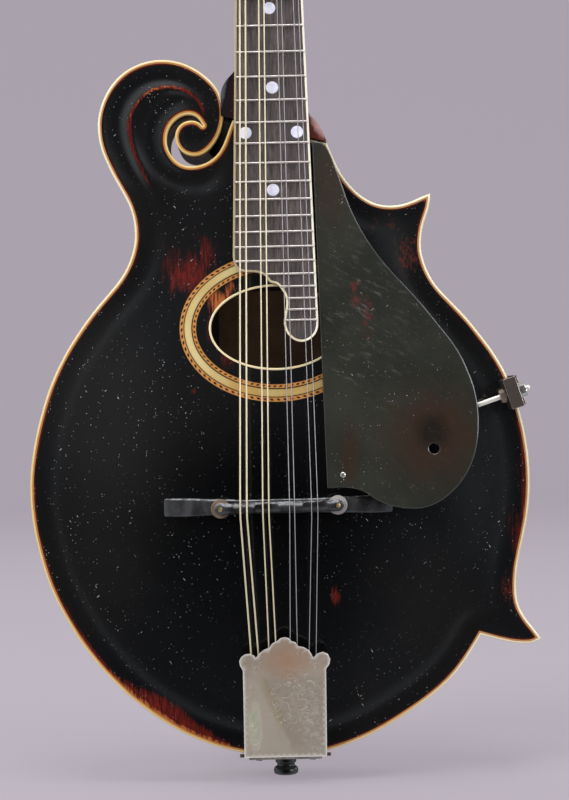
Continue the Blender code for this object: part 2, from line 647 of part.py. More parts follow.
# (y, z) in the headstock frame
HEAD_SIDE = [(-9.0, -0.9), (-7.0, -1.2), (0.3, -0.02), (155, 0.0), (155, -HEAD_THICK),
             (8, -HEAD_THICK), (-2, -15.5), (-9.0, -12)]
VENEER_START = (14.3, 2.6)        # treble corner beside the nut
POST_HOLE_RADIUS = 3.16
head_half = thinned(faired(HEAD_HALF, 1.0, 1.5), 0.45)
head_loop = np.concatenate([head_half, (head_half * [-1, 1])[::-1][1:]])


def neck_section(y, half, depth, slant, foot):
    """Flat on top, rounded below."""
    right = [(half * (foot + (1 - foot) * width), depth * down) for down, width in NECK_ROUND]
    ring = []
    for x, drop in right + [(-x, drop) for x, drop in right[::-1]]:
        point_y = y + slant * (heel_line(x) - heel_line(0))
        ring.append((x, point_y, board_z(point_y) - NECK_DROP - drop))
    return ring


def make_neck():
    """Neck, tenon and headstock in one."""
    neck = loft("neck", [neck_section(*row) for row in NECK_STATIONS], "red_brown_lacquer")
    boolean(neck, flat_solid("tenon", [TENON], TENON_LOW, 16.6), "UNION")
    core = side_solid("head_core", HEAD_SIDE, -40, 40, "x", parent=HEAD)
    plan = flat_solid("head_outline_cut", [head_loop], -30, 30, parent=HEAD)
    boolean(core, plan, "INTERSECT")
    return boolean(neck, core, "UNION")


def make_veneer():
    x, y = VENEER_START
    loop = np.concatenate([[(x, y)], head_loop[head_loop[:, 1] > 3.0], [(-x, y)]])
    return flat_solid("headstock_veneer", [loop], 0.3, 1.9, "ebony", parent=HEAD)


def drill_post_holes(pieces):
    """Returns the hole cutters by side and post number."""
    holes = {}
    for side, label in SIDES.items():
        for i, y in enumerate(POST_Y):
            hole = rod(f"post_hole_{label[0]}{i + 1}", POST_HOLE_RADIUS, 44, 12, parent=HEAD,
                       location=(side * POST_X, y, -6))
            holes[side, i] = hole
            for piece in pieces:
                boolean(piece, hole)
    return holes


def make_nut():
    base = board_z(487.5)
    profile = [(487.7, base - 5.0), (487.7, NUT_TOP), NUT_EDGE, (491.6, 12.6),
               (491.6, base - 4.1), (490.0, base - 5.0)]
    side_solid("nut", profile, -14, 14, "x", "bone")


post_holes = drill_post_holes([make_neck(), make_veneer()])
make_nut()

# ---------------------------------------------------------------------- fretboard
BOARD_NUT_HALF = 14.1
BOARD_TOP_Y = 492.3       # outline end, trimmed back at the nut
BOARD_LOW_Y = 209
FRET_HEIGHT = 1.0
FRET_FOOT = 0.9           # half width at the board
FRET_CROWN = 0.45         # half width on top
board_loop = np.array([(BOARD_NUT_HALF, BOARD_TOP_Y), *thinned(faired(BOARD_END, 0.8, 0.8), 0.22),
                       (-BOARD_NUT_HALF, BOARD_TOP_Y)])


def make_fretboard():
    """The board with its frets, inside the binding."""
    profile = [(NUT_Y, -BOARD_DEPTH), (NUT_Y, 0)]
    for number in range(1, FRET_COUNT + 1):
        y = NUT_Y - FRET_SCALE * math.cos(FRET_TILT) * (1 - 2 ** (-number / 12))
        profile += [(y + FRET_FOOT, 0), (y + FRET_CROWN, FRET_HEIGHT),
                    (y - FRET_CROWN, FRET_HEIGHT), (y - FRET_FOOT, 0)]
    profile += [(BOARD_LOW_Y, 0), (BOARD_LOW_Y, -BOARD_DEPTH)]
    profile = [(y, board_z(y) + height) for y, height in profile]
    board = side_solid("fretboard", profile, -30, 30, "x", "ebony")
    boolean(board, flat_solid("fretboard_plan", [inset(board_loop, 1.9)], -10, 60), "INTERSECT")


def make_board_binding():
    binding = flat_solid("fretboard_binding", [board_loop, inset(board_loop, 1.6)],
                         -BOARD_DEPTH, 0, "ivory_celluloid", lift=board_z)
    boolean(binding, block("nut_end_cut", (-30, 200, -20), (30, NUT_Y, 80)), "INTERSECT")


make_fretboard()
make_board_binding()

# ------------------------------------------------------------------------- bridge
BRIDGE_Y = 133.6
BRIDGE_HALF = 4.5         # half thickness along y
BASE_CENTRE = [(-36, 38.4), (-33, 39.0), (33, 39.0), (36, 38.4)]     # (x, z)
# (x, height above the top)
BASE_BASS_WING = [(-57, 2.6), (-50, 3.4), (-42, 4.4)]
BASE_TREBLE_WING = [(41, 4.4), (48, 3.4)]
BASE_UNDER = [
    (55.2, 0.35), (50, 0.35), (45, 0.35), (40, 0.35), (34, 0.35), (30, 1.5), (20, 2.0), (0, 1.6),
    (-20, 2.0), (-31, 1.5), (-35, 0.35), (-41, 0.35), (-46, 0.35), (-52, 0.35), (-57, 0.35)]
SADDLE_PLAN = [           # (x, y)
    (-31.8, 134.6), (-31.2, 136), (-28.9, 136.6), (-25, 136.3), (-24, 136.9), (0, 137.1),
    (23, 137.2), (25, 136.9), (28.1, 137.3), (30.6, 136.6), (31.4, 134.6), (31.0, 132),
    (28.1, 130.3), (20, 130.9), (0, 130.9), (-22, 130.4), (-28.9, 129.6), (-31.2, 131)]
WHEELS = {"bass": (-28.9, 133.1), "treble": (28.1, 133.8)}           # (x, y)
WHEEL_BORE = 1.65
WHEEL_PROFILE = [(4.4, 1.3), (4.75, 1.0), (4.75, -1.0), (4.4, -1.3), (WHEEL_BORE, -1.3),
                 (WHEEL_BORE, 1.3)]
BRIDGE_POST_TOP = 45.8
BRIDGE_POST_LENGTH = 10.2
SADDLE_SOCKET_TOP = 47.4
SOCKET_LENGTH = 12


def make_bridge_base():
    def above_top(pairs):
        return [(x, plate_z(x, BRIDGE_Y) + height) for x, height in pairs]

    treble_tip = (55.2, plate_z(55, BRIDGE_Y) + 2.6)
    profile = (above_top(BASE_BASS_WING) + BASE_CENTRE + above_top(BASE_TREBLE_WING)
               + [treble_tip] + above_top(BASE_UNDER))
    return side_solid("bridge_base", profile, BRIDGE_Y - BRIDGE_HALF, BRIDGE_Y + BRIDGE_HALF,
                      "y", "ebony")


def make_bridge():
    base = make_bridge_base()
    saddle = flat_solid("bridge_saddle", [SADDLE_PLAN], 43.5, SADDLE_TOP, "ebony")
    for label, (x, y) in WHEELS.items():
        boolean(base, rod(f"post_socket_{label}", WHEEL_BORE, SOCKET_LENGTH, 12,
                          location=(x, y, 41)))
        boolean(saddle, rod(f"saddle_socket_{label}", WHEEL_BORE, SOCKET_LENGTH, 12,
                            location=(x, y, SADDLE_SOCKET_TOP - SOCKET_LENGTH / 2)))
        rod(f"bridge_post_{label}", 1.3, BRIDGE_POST_LENGTH, 12, "brass",
            location=(x, y, BRIDGE_POST_TOP - BRIDGE_POST_LENGTH / 2))
        turned(f"thumbwheel_{label}", WHEEL_PROFILE, 14, "nickel", ring=True,
               location=(x, y, 41.9))


make_bridge()

# ---------------------------------------------------------- finger rest and clamp
CLAMP = empty("clamp_frame", (117.6, 187.3, EDGE), (0, 0, math.radians(18.0)), FRAME)
# In the clamp frame x points outwards along the rod.
ROD_HEIGHT = 14.6
CLAMP_BORE = 1.6
BRACKET_SIDE = [          # (x, z)
    (-6.1, 0.8), (-6.1, 19.5), (-1.2, 19.5), (-1.2, 8.6), (2.4, 8.6), (2.4, -45.4), (-6, -45.4),
    (-6, -43.9), (0.8, -43.9), (0.8, 0.8)]
# name, inner face x, thickness, radius
CLAMP_NUTS = [("clamp_inner_nut", -9.4, 3.0, 3.3), ("clamp_outer_nut", -0.8, 3.4, 3.6)]


def guard_z(y):
    """Upper face of the finger rest."""
    return board_z(y) - 1.5


def make_finger_rest():
    loop = thinned(faired(GUARD, 1.0, 2.0), 0.25)
    guard = flat_solid("finger_rest", [loop], -1.8, 0, "tortoise_celluloid", lift=guard_z)
    boolean(guard, rod("finger_rest_hole", 2.55, 30, 16, location=(75.6, 160.2, guard_z(160))))


def make_guard_rod():
    """A round bar with a flat tongue at its inner end."""
    bar = rod("guard_rod_bar", 1.25, 28.4, 12, parent=CLAMP, location=(-6.7, 0, ROD_HEIGHT),
              rotation=Z_TO_X)
    tongue = block("guard_rod", (-36, -4, ROD_HEIGHT - 1.0), (-19.5, 4, ROD_HEIGHT + 0.7),
                   "nickel", CLAMP)
    boolean(tongue, bar, "UNION")


def make_clamp():
    bracket = side_solid("clamp_bracket", BRACKET_SIDE, -7.6, 7.6, "y", "nickel", CLAMP)
    boolean(bracket, rod("bracket_hole", CLAMP_BORE, 20, 12, parent=CLAMP,
                         location=(-3, 0, ROD_HEIGHT), rotation=Z_TO_X))
    for name, start, thickness, radius in CLAMP_NUTS:
        half = thickness / 2
        profile = [(radius, half), (radius, -half), (CLAMP_BORE, -half), (CLAMP_BORE, half)]
        turned(name, profile, 6, "nickel", ring=True, parent=CLAMP,
               location=(start + half, 0, ROD_HEIGHT), rotation=Z_TO_X)


make_finger_rest()
make_guard_rod()
make_clamp()

# ---------------------------------------------------------- tailpiece and end pin
HOOK_Y = 50               # where the hooks' height is taken from the plate
# name, (x, y) loop, lower edge above the plate's slope
COVER_WALLS = [
    ("left", [(-20.15, 9.8), (-18.9, 9.8), (-18.9, 52), (-19.95, 52)], 0.4),
    ("right", [(19.1, 9.8), (20.35, 9.8), (20.65, 52), (19.5, 52)], 0.4),
    ("end", [(-20.1, 9.75), (20.3, 9.75), (20.3, 10.9), (-20.1, 10.9)], 2.0)]
PIN_PROFILE = [           # (radius, height)
    (0, PIN_FACE), (5.2, PIN_FACE), (6.1, 3.2), (6.1, 0.9), (5.4, 0.1), (4.4, -0.6), (4.4, -1.4),
    (5.3, -2.2), (5.3, -5.4), (3.3, -6.1), (2.6, -27.5), (0, -27.5)]


def make_tail_base():
    """A bent plate, up over the tail and along the top, with a bar of hooks."""
    profile = [(6.4, -15), (6.4, tail_plate_z(7)), (8.2, tail_plate_z(7) + 1.6),
               (58, tail_plate_z(58) + 1.2), (58, tail_plate_z(58)), (8.9, tail_plate_z(8.9)),
               (7.6, tail_plate_z(7.6) - 1.3), (7.6, -15)]
    base = side_solid("tailpiece_base", profile, -18, 18, "x", "nickel")
    boolean(base, rod("tail_pin_hole", 3.6, 10, 16, location=(0, 7, 0), rotation=Z_TO_TAIL))
    hook_z = tail_plate_z(HOOK_Y)
    hooks = block("hook_bar", (-17, 47.5, hook_z - 0.4), (17, 49.5, hook_z + 3.4))
    boolean(base, hooks, "UNION")


def make_tail_cover():
    loop = [(-20.2, 9.7), (20.4, 9.7), *thinned(CLOUD, 0.35)]
    cover = flat_solid("tailpiece_cover", [loop], 6.0, 7.1, "nickel", lift=tail_plate_z)
    for name, wall, low in COVER_WALLS:
        wall_solid = flat_solid(f"cover_wall_{name}", [wall], low, 6.6, lift=tail_plate_z)
        boolean(cover, wall_solid, "UNION")


make_tail_base()
empty("tailpiece_cover_slide", (0, 40, tail_plate_z(40)), parent=FRAME)
make_tail_cover()
turned("end_pin", PIN_PROFILE, 14, "ebony", rotation=Z_TO_TAIL)

# ------------------------------------------------------------------------ strings
# name, radius, x at the tail, x at the saddle, x at the nut, side, post number from 0
STRINGS = [
    ("g1", 0.5, -15.2, -19.2, -12.5, -1, 0), ("g2", 0.5, -11.6, -16.0, -9.9, -1, 1),
    ("d1", 0.4, -6.7, -8.3, -3.9, -1, 2), ("d2", 0.4, -3.1, -5.4, -1.4, -1, 3),
    ("a1", 0.22, 3.2, 4.6, 3.5, 1, 3), ("a2", 0.22, 6.9, 7.0, 5.7, 1, 2),
    ("e1", 0.2, 12.2, 15.2, 10.5, 1, 1), ("e2", 0.2, 15.7, 18.2, 12.8, 1, 0)]
COIL_TURNS = 1.5
COIL_STEPS = 8            # points per turn
COIL_TOP = 8.6            # above the headstock face


def from_head(x, y, z):
    """A headstock-frame point in the instrument frame."""
    cosine, sine = math.cos(HEAD_ANGLE), math.sin(HEAD_ANGLE)
    return (x, HEAD_ORIGIN[1] + y * cosine + z * sine, HEAD_ORIGIN[2] - y * sine + z * cosine)


def make_string(name, radius, tail_x, saddle_x, nut_x, side, post):
    """From the hooks over saddle and nut, then wound down the tuner post."""
    lift = GAP + radius
    path = [(tail_x, 50.4, tail_plate_z(HOOK_Y) + 2.2),
            (saddle_x, 129.0, SADDLE_TOP + lift + 0.1),
            (saddle_x, SADDLE_Y, SADDLE_TOP + lift + 0.15),
            (nut_x, 488.4, NUT_TOP + lift + 0.1),
            (nut_x, 492.2, NUT_EDGE[1] + radius)]
    coil = POST_RADIUS + GAP + 0.1 + radius
    start = 0.0 if side < 0 else math.pi
    for j in range(int(COIL_TURNS * COIL_STEPS) + 1):
        angle = start - side * 2 * math.pi * j / COIL_STEPS
        path.append(from_head(side * POST_X + coil * math.cos(angle),
                              POST_Y[post] + coil * math.sin(angle),
                              COIL_TOP - (2 * radius + 0.35) * j / COIL_STEPS))
    tube(f"string_{name}", path, radius, "bronze_winding" if radius > 0.3 else "plain_steel")


for row in STRINGS:
    make_string(*row)

# ------------------------------------------------------------------------- tuners
WORM_OFFSET = 7.95        # worm axis beyond its post, up the headstock
WORM_Z = -18.2
WORM_LEAD = 2.334
WORM_ROOT = 1.95
WORM_DEPTH = 1.1
GEAR_TEETH = 14
GEAR_ROOT = 4.5
GEAR_TIP = 5.9
SHAFT_RINGS = [(2.7, 13.0), (POST_RADIUS, 12.4), (POST_RADIUS, -17.1)]    # (radius, z)
GEAR_Z = (-17.1, -19.3)
EAR_THICK = 1.2
EAR_HALF = 2.6            # half width along y
KNOB_ANGLES = [2 * math.pi * j / 8 for j in range(8)]
# Plain rings of the worm shaft and button: distance outwards from the post, radius,
# flattening across z.
SHAFT_INNER = [(-7.0, 1.5, 1), (-2.8, 1.5, 1)]
SHAFT_OUTER = [(2.8, 1.5, 1), (19.0, 1.5, 1), (19.4, 2.6, 1), (21.5, 3.0, 1), (22.5, 5.2, 0.62),
               (27, 6.6, 0.62), (31, 5.0, 0.62), (32.6, 2.2, 1)]


def make_tuner_plate(side, label):
    """One strip for four tuners, with a pair of ears for each worm."""
    low, high = sorted((side * 11.0, side * 27.0))
    plate = block(f"tuner_plate_{label}", (low, 23, -HEAD_THICK - 1.6),
                  (high, 118, -HEAD_THICK - 0.4), "nickel", HEAD)
    x = side * POST_X
    for i, y in enumerate(POST_Y):
        boolean(plate, post_holes[side, i])
        worm_y = y + WORM_OFFSET
        for end, ear_x in (("in", x - side * 5.6), ("out", x + side * 6.4)):
            low, high = sorted((ear_x, ear_x + side * EAR_THICK))
            ear = block(f"ear_{label}_{i + 1}_{end}", (low, worm_y - EAR_HALF, -20.8),
                        (high, worm_y + EAR_HALF, -14.2), parent=HEAD)
            boolean(plate, ear, "UNION")
    for i, y in enumerate(POST_Y):
        boolean(plate, rod(f"worm_bearing_{label}_{i}", 1.80, 30, 6, parent=HEAD,
                           location=(x, y + WORM_OFFSET, WORM_Z), rotation=Z_TO_X))


def vertex_ring(shape, radii, z):
    """Vertices evenly round z, one for each radius, starting towards +y."""
    angles = np.arange(len(radii)) * 2 * math.pi / len(radii) + math.pi / 2
    return [shape.verts.new((radius * math.cos(angle) * MM, radius * math.sin(angle) * MM, z * MM))
            for radius, angle in zip(radii, angles)]


def make_tuner_post(tag, x, y):
    """Post and gear: a gap between teeth faces the worm."""
    shape = bmesh.new()
    shaft = [vertex_ring(shape, [radius] * GEAR_TEETH, z) for radius, z in SHAFT_RINGS]
    gear = [vertex_ring(shape, [GEAR_ROOT, GEAR_TIP] * GEAR_TEETH, z) for z in GEAR_Z]
    skin(shape, shaft)
    skin(shape, gear)
    foot, rim = shaft[-1], gear[0]
    for j in range(GEAR_TEETH):
        after, root = (j + 1) % GEAR_TEETH, 2 * j
        tip, next_root = root + 1, (root + 2) % (2 * GEAR_TEETH)
        shape.faces.new((foot[j], rim[root], rim[tip]))
        shape.faces.new((foot[j], rim[tip], foot[after]))
        shape.faces.new((foot[after], rim[tip], rim[next_root]))
    shape.faces.new(shaft[0])
    shape.faces.new(gear[1][::-1])
    bmesh.ops.recalc_face_normals(shape, faces=shape.faces)
    name = f"tuner_post_{tag}"
    place(name, mesh_from(name, shape), "nickel", HEAD, (x, y, 0))


def plain_ring(side, out, radius, flat):
    return [(side * out, radius * math.cos(angle), radius * math.sin(angle) * flat)
            for angle in KNOB_ANGLES]


def worm_ring(side, out):
    """A ring of the thread, whose crest faces the gear's gap."""
    ring = []
    for angle in KNOB_ANGLES:
        phase = (out / WORM_LEAD - (angle - math.pi) / (2 * math.pi) * side) % 1.0
        radius = WORM_ROOT + WORM_DEPTH * abs(2 * phase - 1)
        ring.append((side * out, radius * math.cos(angle), radius * math.sin(angle)))
    return ring


def make_knob(tag, side, x, y):
    """Worm, shaft and button in one."""
    rings = [plain_ring(side, *row) for row in SHAFT_INNER]
    rings += [worm_ring(side, out) for out in np.arange(-WORM_LEAD, 2.34, WORM_LEAD / 4)]
    rings += [plain_ring(side, *row) for row in SHAFT_OUTER]
    loft(f"tuner_knob_{tag}", rings, "button_celluloid", parent=HEAD,
         location=(x, y + WORM_OFFSET, WORM_Z))


for side, label in SIDES.items():
    make_tuner_plate(side, label)
    for i, y in enumerate(POST_Y):
        make_tuner_post(f"{label}_{i + 1}", side * POST_X, y)
        make_knob(f"{label}_{i + 1}", side, side * POST_X, y)

bpy.context.view_layer.update()
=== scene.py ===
"""A scroll-body mandolin with eight strings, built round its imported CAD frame.

Pieces are drawn in millimetres: x towards the treble side, y up the neck, z out of the top.
FRAME carries them to the row frame, in metres, as (x, -z, y + 4) / 1000: there the neck
points up +Z and the top faces -Y.
"""
import math
from functools import cached_property

import bmesh
import bpy
import numpy as np
from mathutils import Matrix, Vector
from mathutils.geometry import delaunay_2d_cdt


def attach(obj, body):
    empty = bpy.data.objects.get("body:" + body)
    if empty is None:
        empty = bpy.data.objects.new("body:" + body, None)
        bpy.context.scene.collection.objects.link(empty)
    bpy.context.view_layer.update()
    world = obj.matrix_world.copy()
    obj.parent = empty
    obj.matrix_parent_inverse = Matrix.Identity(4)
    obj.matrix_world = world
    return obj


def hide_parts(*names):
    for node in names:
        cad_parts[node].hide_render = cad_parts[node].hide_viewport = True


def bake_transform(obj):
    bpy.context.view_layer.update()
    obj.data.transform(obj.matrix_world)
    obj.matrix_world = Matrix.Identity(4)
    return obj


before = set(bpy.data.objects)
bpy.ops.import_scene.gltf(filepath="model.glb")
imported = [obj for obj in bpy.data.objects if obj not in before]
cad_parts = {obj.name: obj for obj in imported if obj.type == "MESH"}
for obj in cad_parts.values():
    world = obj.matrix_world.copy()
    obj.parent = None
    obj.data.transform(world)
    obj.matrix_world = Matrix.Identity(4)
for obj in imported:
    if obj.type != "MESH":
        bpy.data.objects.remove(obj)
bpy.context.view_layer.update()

# ------------------------------------------------------------- driving dimensions, mm
MM = 0.001
EDGE = 21.5                      # from the middle of the ribs to the top's rim
BUTT_Y = 8.2                     # lowest point of the body
BIND_W, BIND_H = 1.8, 4.1        # body binding
TOP_THICK, BACK_THICK = 3.6, 3.4
HOLE_CENTRE, HOLE_RADII = (0.0, 221.2), (33.2, 21.2)
NUT_Y, SADDLE_Y = 487.3, 136.0
FRET_SCALE, FRET_TILT = 352.4, math.radians(5.5)
BOARD_SLOPE, BOARD_THICK = 0.0890, 4.95
HEAD_ORIGIN, HEAD_ANGLE, HEAD_THICK = (0.0, 490.0, 8.0), math.radians(17.1), 13.0
POST_X, POST_V = 17.5, (32.0, 55.5, 79.0, 102.5)      # tuner posts, v along the head
WORM_DV, WORM_W, WORM_LEAD = 7.95, -18.2, 2.334       # worms from their posts, w above the head
GEAR_TEETH = 14
SADDLE_TOP = 48.6
STRINGS = (
    # name, radius, x at the saddle, at the nut, at the tail, side of its post, post number
    ("g1", 0.5, -19.2, -12.5, -15.2, -1, 0), ("g2", 0.5, -16.0, -9.9, -11.6, -1, 1),
    ("d1", 0.4, -8.3, -3.9, -6.7, -1, 2), ("d2", 0.4, -5.4, -1.4, -3.1, -1, 3),
    ("a1", 0.22, 4.6, 3.5, 3.2, 1, 3), ("a2", 0.22, 7.0, 5.7, 6.9, 1, 2),
    ("e1", 0.2, 15.2, 10.5, 12.2, 1, 1), ("e2", 0.2, 18.2, 12.8, 15.7, 1, 0),
)


def board_z(y):
    """Playing surface of the fretboard."""
    return 29.2 + BOARD_SLOPE * (312.0 - y)


# ------------------------------------------------------------------ curves and outlines
def smooth(start, end, x):
    """Smooth step from 0 at start to 1 at end, which may be the smaller."""
    t = np.clip((np.asarray(x, float) - start) / (end - start), 0, 1)
    return t * t * (3 - 2 * t)


def cubic(stations, values):
    """Natural cubic through the stations, held level beyond its ends."""
    xs, ys = np.array(stations, float), np.array(values, float)
    gap = np.diff(xs)
    count = len(xs)
    system = np.zeros((count, count))
    target = np.zeros(count)
    system[0, 0] = system[-1, -1] = 1.0
    for i in range(1, count - 1):
        system[i, i - 1:i + 2] = gap[i - 1], 2 * (gap[i - 1] + gap[i]), gap[i]
        target[i] = 6 * ((ys[i + 1] - ys[i]) / gap[i] - (ys[i] - ys[i - 1]) / gap[i - 1])
    bend = np.linalg.solve(system, target)

    def value(x):
        x = np.clip(np.asarray(x, float), xs[0], xs[-1])
        i = np.clip(np.searchsorted(xs, x) - 1, 0, count - 2)
        past, left = x - xs[i], xs[i + 1] - x
        return (
            bend[i] * left**3 / (6 * gap[i])
            + bend[i + 1] * past**3 / (6 * gap[i])
            + (ys[i] / gap[i] - bend[i] * gap[i] / 6) * left
            + (ys[i + 1] / gap[i] - bend[i + 1] * gap[i] / 6) * past
        )

    return value


def run_lengths(run):
    return np.concatenate([[0], np.cumsum(np.linalg.norm(np.diff(run, axis=0), axis=1))])


def faired(stations, step, soften):
    """A smooth run through template stations, both ends held."""
    corners = np.array(stations, float)
    length = run_lengths(corners)
    t = np.linspace(0, length[-1], int(length[-1] / step) + 1)
    run = np.stack([cubic(length, corners[:, i])(t) for i in (0, 1)], axis=1)
    reach = int(3 * soften / step)
    weights = np.exp(-0.5 * (np.arange(-reach, reach + 1) * step / soften) ** 2)
    weights /= weights.sum()
    head = 2 * run[0] - run[reach:0:-1]
    tail = 2 * run[-1] - run[-2:-reach - 2:-1]
    padded = np.concatenate([head, run, tail])
    run = np.stack([np.convolve(padded[:, i], weights, "valid") for i in (0, 1)], axis=1)
    run[0], run[-1] = corners[0], corners[-1]
    return run


def thinned(points, tolerance):
    """Fewest of the points that stay within tolerance of the run (Douglas-Peucker)."""
    keep = {0, len(points) - 1}
    todo = [(0, len(points) - 1)]
    while todo:
        a, b = todo.pop()
        if b - a < 2:
            continue
        chord = points[b] - points[a]
        normal = np.array([-chord[1], chord[0]]) / max(np.linalg.norm(chord), 1e-9)
        off = np.abs((points[a + 1:b] - points[a]) @ normal)
        i = int(off.argmax())
        if off[i] > tolerance:
            keep.add(a + 1 + i)
            todo += [(a, a + 1 + i), (a + 1 + i, b)]
    return points[sorted(keep)]


def nearest(points, run):
    """Each point's distance to an open run, and how far along the run that is, 0 to 1."""
    points = np.asarray(points, float)
    length = run_lengths(run)
    best, where = np.full(len(points), 1e9), np.zeros(len(points))
    for i in range(len(run) - 1):
        start, leg = run[i], run[i + 1] - run[i]
        t = np.clip(((points - start) @ leg) / max(leg @ leg, 1e-12), 0, 1)
        gap = np.linalg.norm(points - start - t[:, None] * leg, axis=1)
        closer = gap < best
        best[closer] = gap[closer]
        where[closer] = (length[i] + t[closer] * (length[i + 1] - length[i])) / length[-1]
    return best, where


def distance_to(points, loop):
    """Distance from each point to a closed loop."""
    loop = np.asarray(loop, float)
    return nearest(points, np.concatenate([loop, loop[:1]]))[0]


def anticlockwise(loop):
    loop = np.asarray(loop, float)
    x, y = loop.T
    area = np.sum(x * np.roll(y, -1) - np.roll(x, -1) * y)
    return loop[::-1] if area < 0 else loop


def mitres(loop, least=0.25):
    """Inward mitre vectors of an anticlockwise closed loop."""
    leg = np.roll(loop, -1, axis=0) - loop
    leg /= np.linalg.norm(leg, axis=1)[:, None]
    normal = np.stack([-leg[:, 1], leg[:, 0]], axis=1)
    mitre = normal + np.roll(normal, 1, axis=0)
    return mitre / np.maximum(np.sum(mitre * normal, axis=1), least)[:, None]


def inset(loop, distance):
    """The closed loop moved inwards with mitred corners."""
    loop = anticlockwise(loop)
    moved = loop + distance * mitres(loop, 0.18)
    return moved[distance_to(moved, loop) > distance - 0.02]


def within(points, loop):
    """Even-odd test of each point against a closed loop."""
    x, y = points[:, 0], points[:, 1]
    inside = np.zeros(len(points), bool)
    loop = np.asarray(loop, float)
    for (x1, y1), (x2, y2) in zip(loop, np.roll(loop, -1, axis=0)):
        if y1 == y2:
            continue
        hit = (y1 > y) != (y2 > y)
        if hit.any():
            inside ^= hit & (x < (x2 - x1) * (y - y1) / (y2 - y1) + x1)
    return inside


def grid(x0, x1, y0, y1, step):
    """Staggered rows of points over a rectangle."""
    return np.array([(x, y) for j, y in enumerate(np.arange(y0, y1, step * 0.866))
                     for x in np.arange(x0 + (step / 2 if j % 2 else 0), x1, step)])


def oval(radius_x, radius_y, n=160):
    """An ellipse about the middle of the soundhole."""
    t = np.arange(n) * 2 * math.pi / n
    return np.column_stack([HOLE_CENTRE[0] + radius_x * np.cos(t),
                            HOLE_CENTRE[1] + radius_y * np.sin(t)])


def circle(x, y, radius, n=28):
    return np.array([(x + radius * math.cos(t), y + radius * math.sin(t))
                     for t in np.arange(n) * 2 * math.pi / n])


def rounded(x0, x1, y0, y1, radius):
    """A rectangle's outline with rounded corners, anticlockwise."""
    corners = ((x1 - radius, y1 - radius, 0), (x0 + radius, y1 - radius, 90),
               (x0 + radius, y0 + radius, 180), (x1 - radius, y0 + radius, 270))
    return np.array([(x + radius * math.cos(math.radians(start + turn)),
                      y + radius * math.sin(math.radians(start + turn)))
                     for x, y, start in corners for turn in np.linspace(0, 90, 6)])


# ---------------------------------------------------------- measured outlines, (x, y) points
SHOULDER = [
    (27, 312.2), (29, 307.3), (31.4, 301.5), (34, 296.5), (38, 291), (42.5, 286.5), (47.5, 283.1),
    (52.5, 281.1), (58, 280.5), (63, 280.9), (68, 282.3), (72.7, 284.3), (77.8, 286.2)]
TREBLE = [
    (77.8, 286.2), (77.1, 280), (75.3, 274.6), (73.6, 269.3), (72.7, 263.5), (72.6, 258.3),
    (73.4, 254), (74.9, 249.2), (77.2, 244.3), (80.4, 239.5), (84.9, 234.4), (90.1, 228.9),
    (95.8, 222.4), (101, 215.6), (106, 208.7), (110.4, 201.6), (113.8, 194.8), (117, 186.5),
    (119.6, 177.7), (121.4, 170), (122.8, 162), (123.8, 152.7), (124, 143), (123.5, 133.2),
    (122.5, 125.8), (121, 118.2), (119.2, 110.7), (117.6, 103.5), (116.5, 96.7), (116.1, 90),
    (116.5, 83.7), (118.4, 77.9), (121.7, 72.7), (125, 68.5), (128, 64.2)]
LOWER_POINT = [
    (128, 64.2), (125.5, 62.7), (121.5, 61.9), (116.4, 62.2), (109.6, 63.4), (103.6, 65.1),
    (98.2, 66.7)]
# round the butt, up the bass side and round the scroll to the blind end of its slot
BOUT = [
    (98.2, 66.7), (90.8, 55.2), (82, 44.7), (70.2, 35), (57.3, 26.6), (47.2, 20.8), (37.2, 16.2),
    (27.2, 12.7), (14, 9.5), (0, 8.2), (-10.2, 8.9), (-20.6, 10.7), (-27.6, 12.3), (-37.6, 15.5),
    (-49.2, 20.6), (-60, 27), (-69.4, 33.8), (-77.6, 40.6), (-85.4, 48.4), (-93, 57.2),
    (-99.8, 66.5), (-106, 76.5), (-111.4, 86.8), (-115.9, 97.8), (-119.2, 109), (-121.6, 119.7),
    (-123.2, 130.4), (-123.8, 140.6), (-123.3, 152.6), (-121.7, 163.4), (-119.1, 174.9),
    (-115.8, 186.2), (-111.9, 196.6), (-107.2, 206.4), (-101, 216.7), (-94.3, 226.2),
    (-86.8, 235.4), (-80.1, 242.9), (-74.8, 250), (-71.4, 257.1), (-69.6, 263.6), (-69.1, 270),
    (-69.8, 277), (-71.9, 284), (-75.4, 290.9), (-78.3, 296.2), (-80.8, 301.3), (-83, 306.3),
    (-84.8, 311.2), (-85.9, 316.2), (-86.4, 321.2), (-86.2, 326.2), (-85.2, 331.2),
    (-83.4, 336.1), (-80.8, 341), (-77, 345.9), (-71.1, 350.7), (-64.8, 353.7), (-59.5, 355),
    (-52.3, 355.3), (-45, 353.9), (-40, 351.9), (-35, 348.8), (-30.4, 344.9), (-27.8, 342),
    (-25.5, 338.1), (-24.3, 333.6), (-23.9, 329), (-24.2, 324.7), (-25.4, 319.8), (-27.6, 315.1),
    (-30.9, 311), (-34.3, 308.4), (-37.6, 307.3), (-41, 307.5), (-44.4, 309), (-46.9, 311.8),
    (-48.2, 315.1), (-48.2, 318.4), (-47, 321.6), (-44.6, 323.9), (-41.6, 325), (-38.6, 325),
    (-36.1, 324.2), (-34.3, 322.3)]
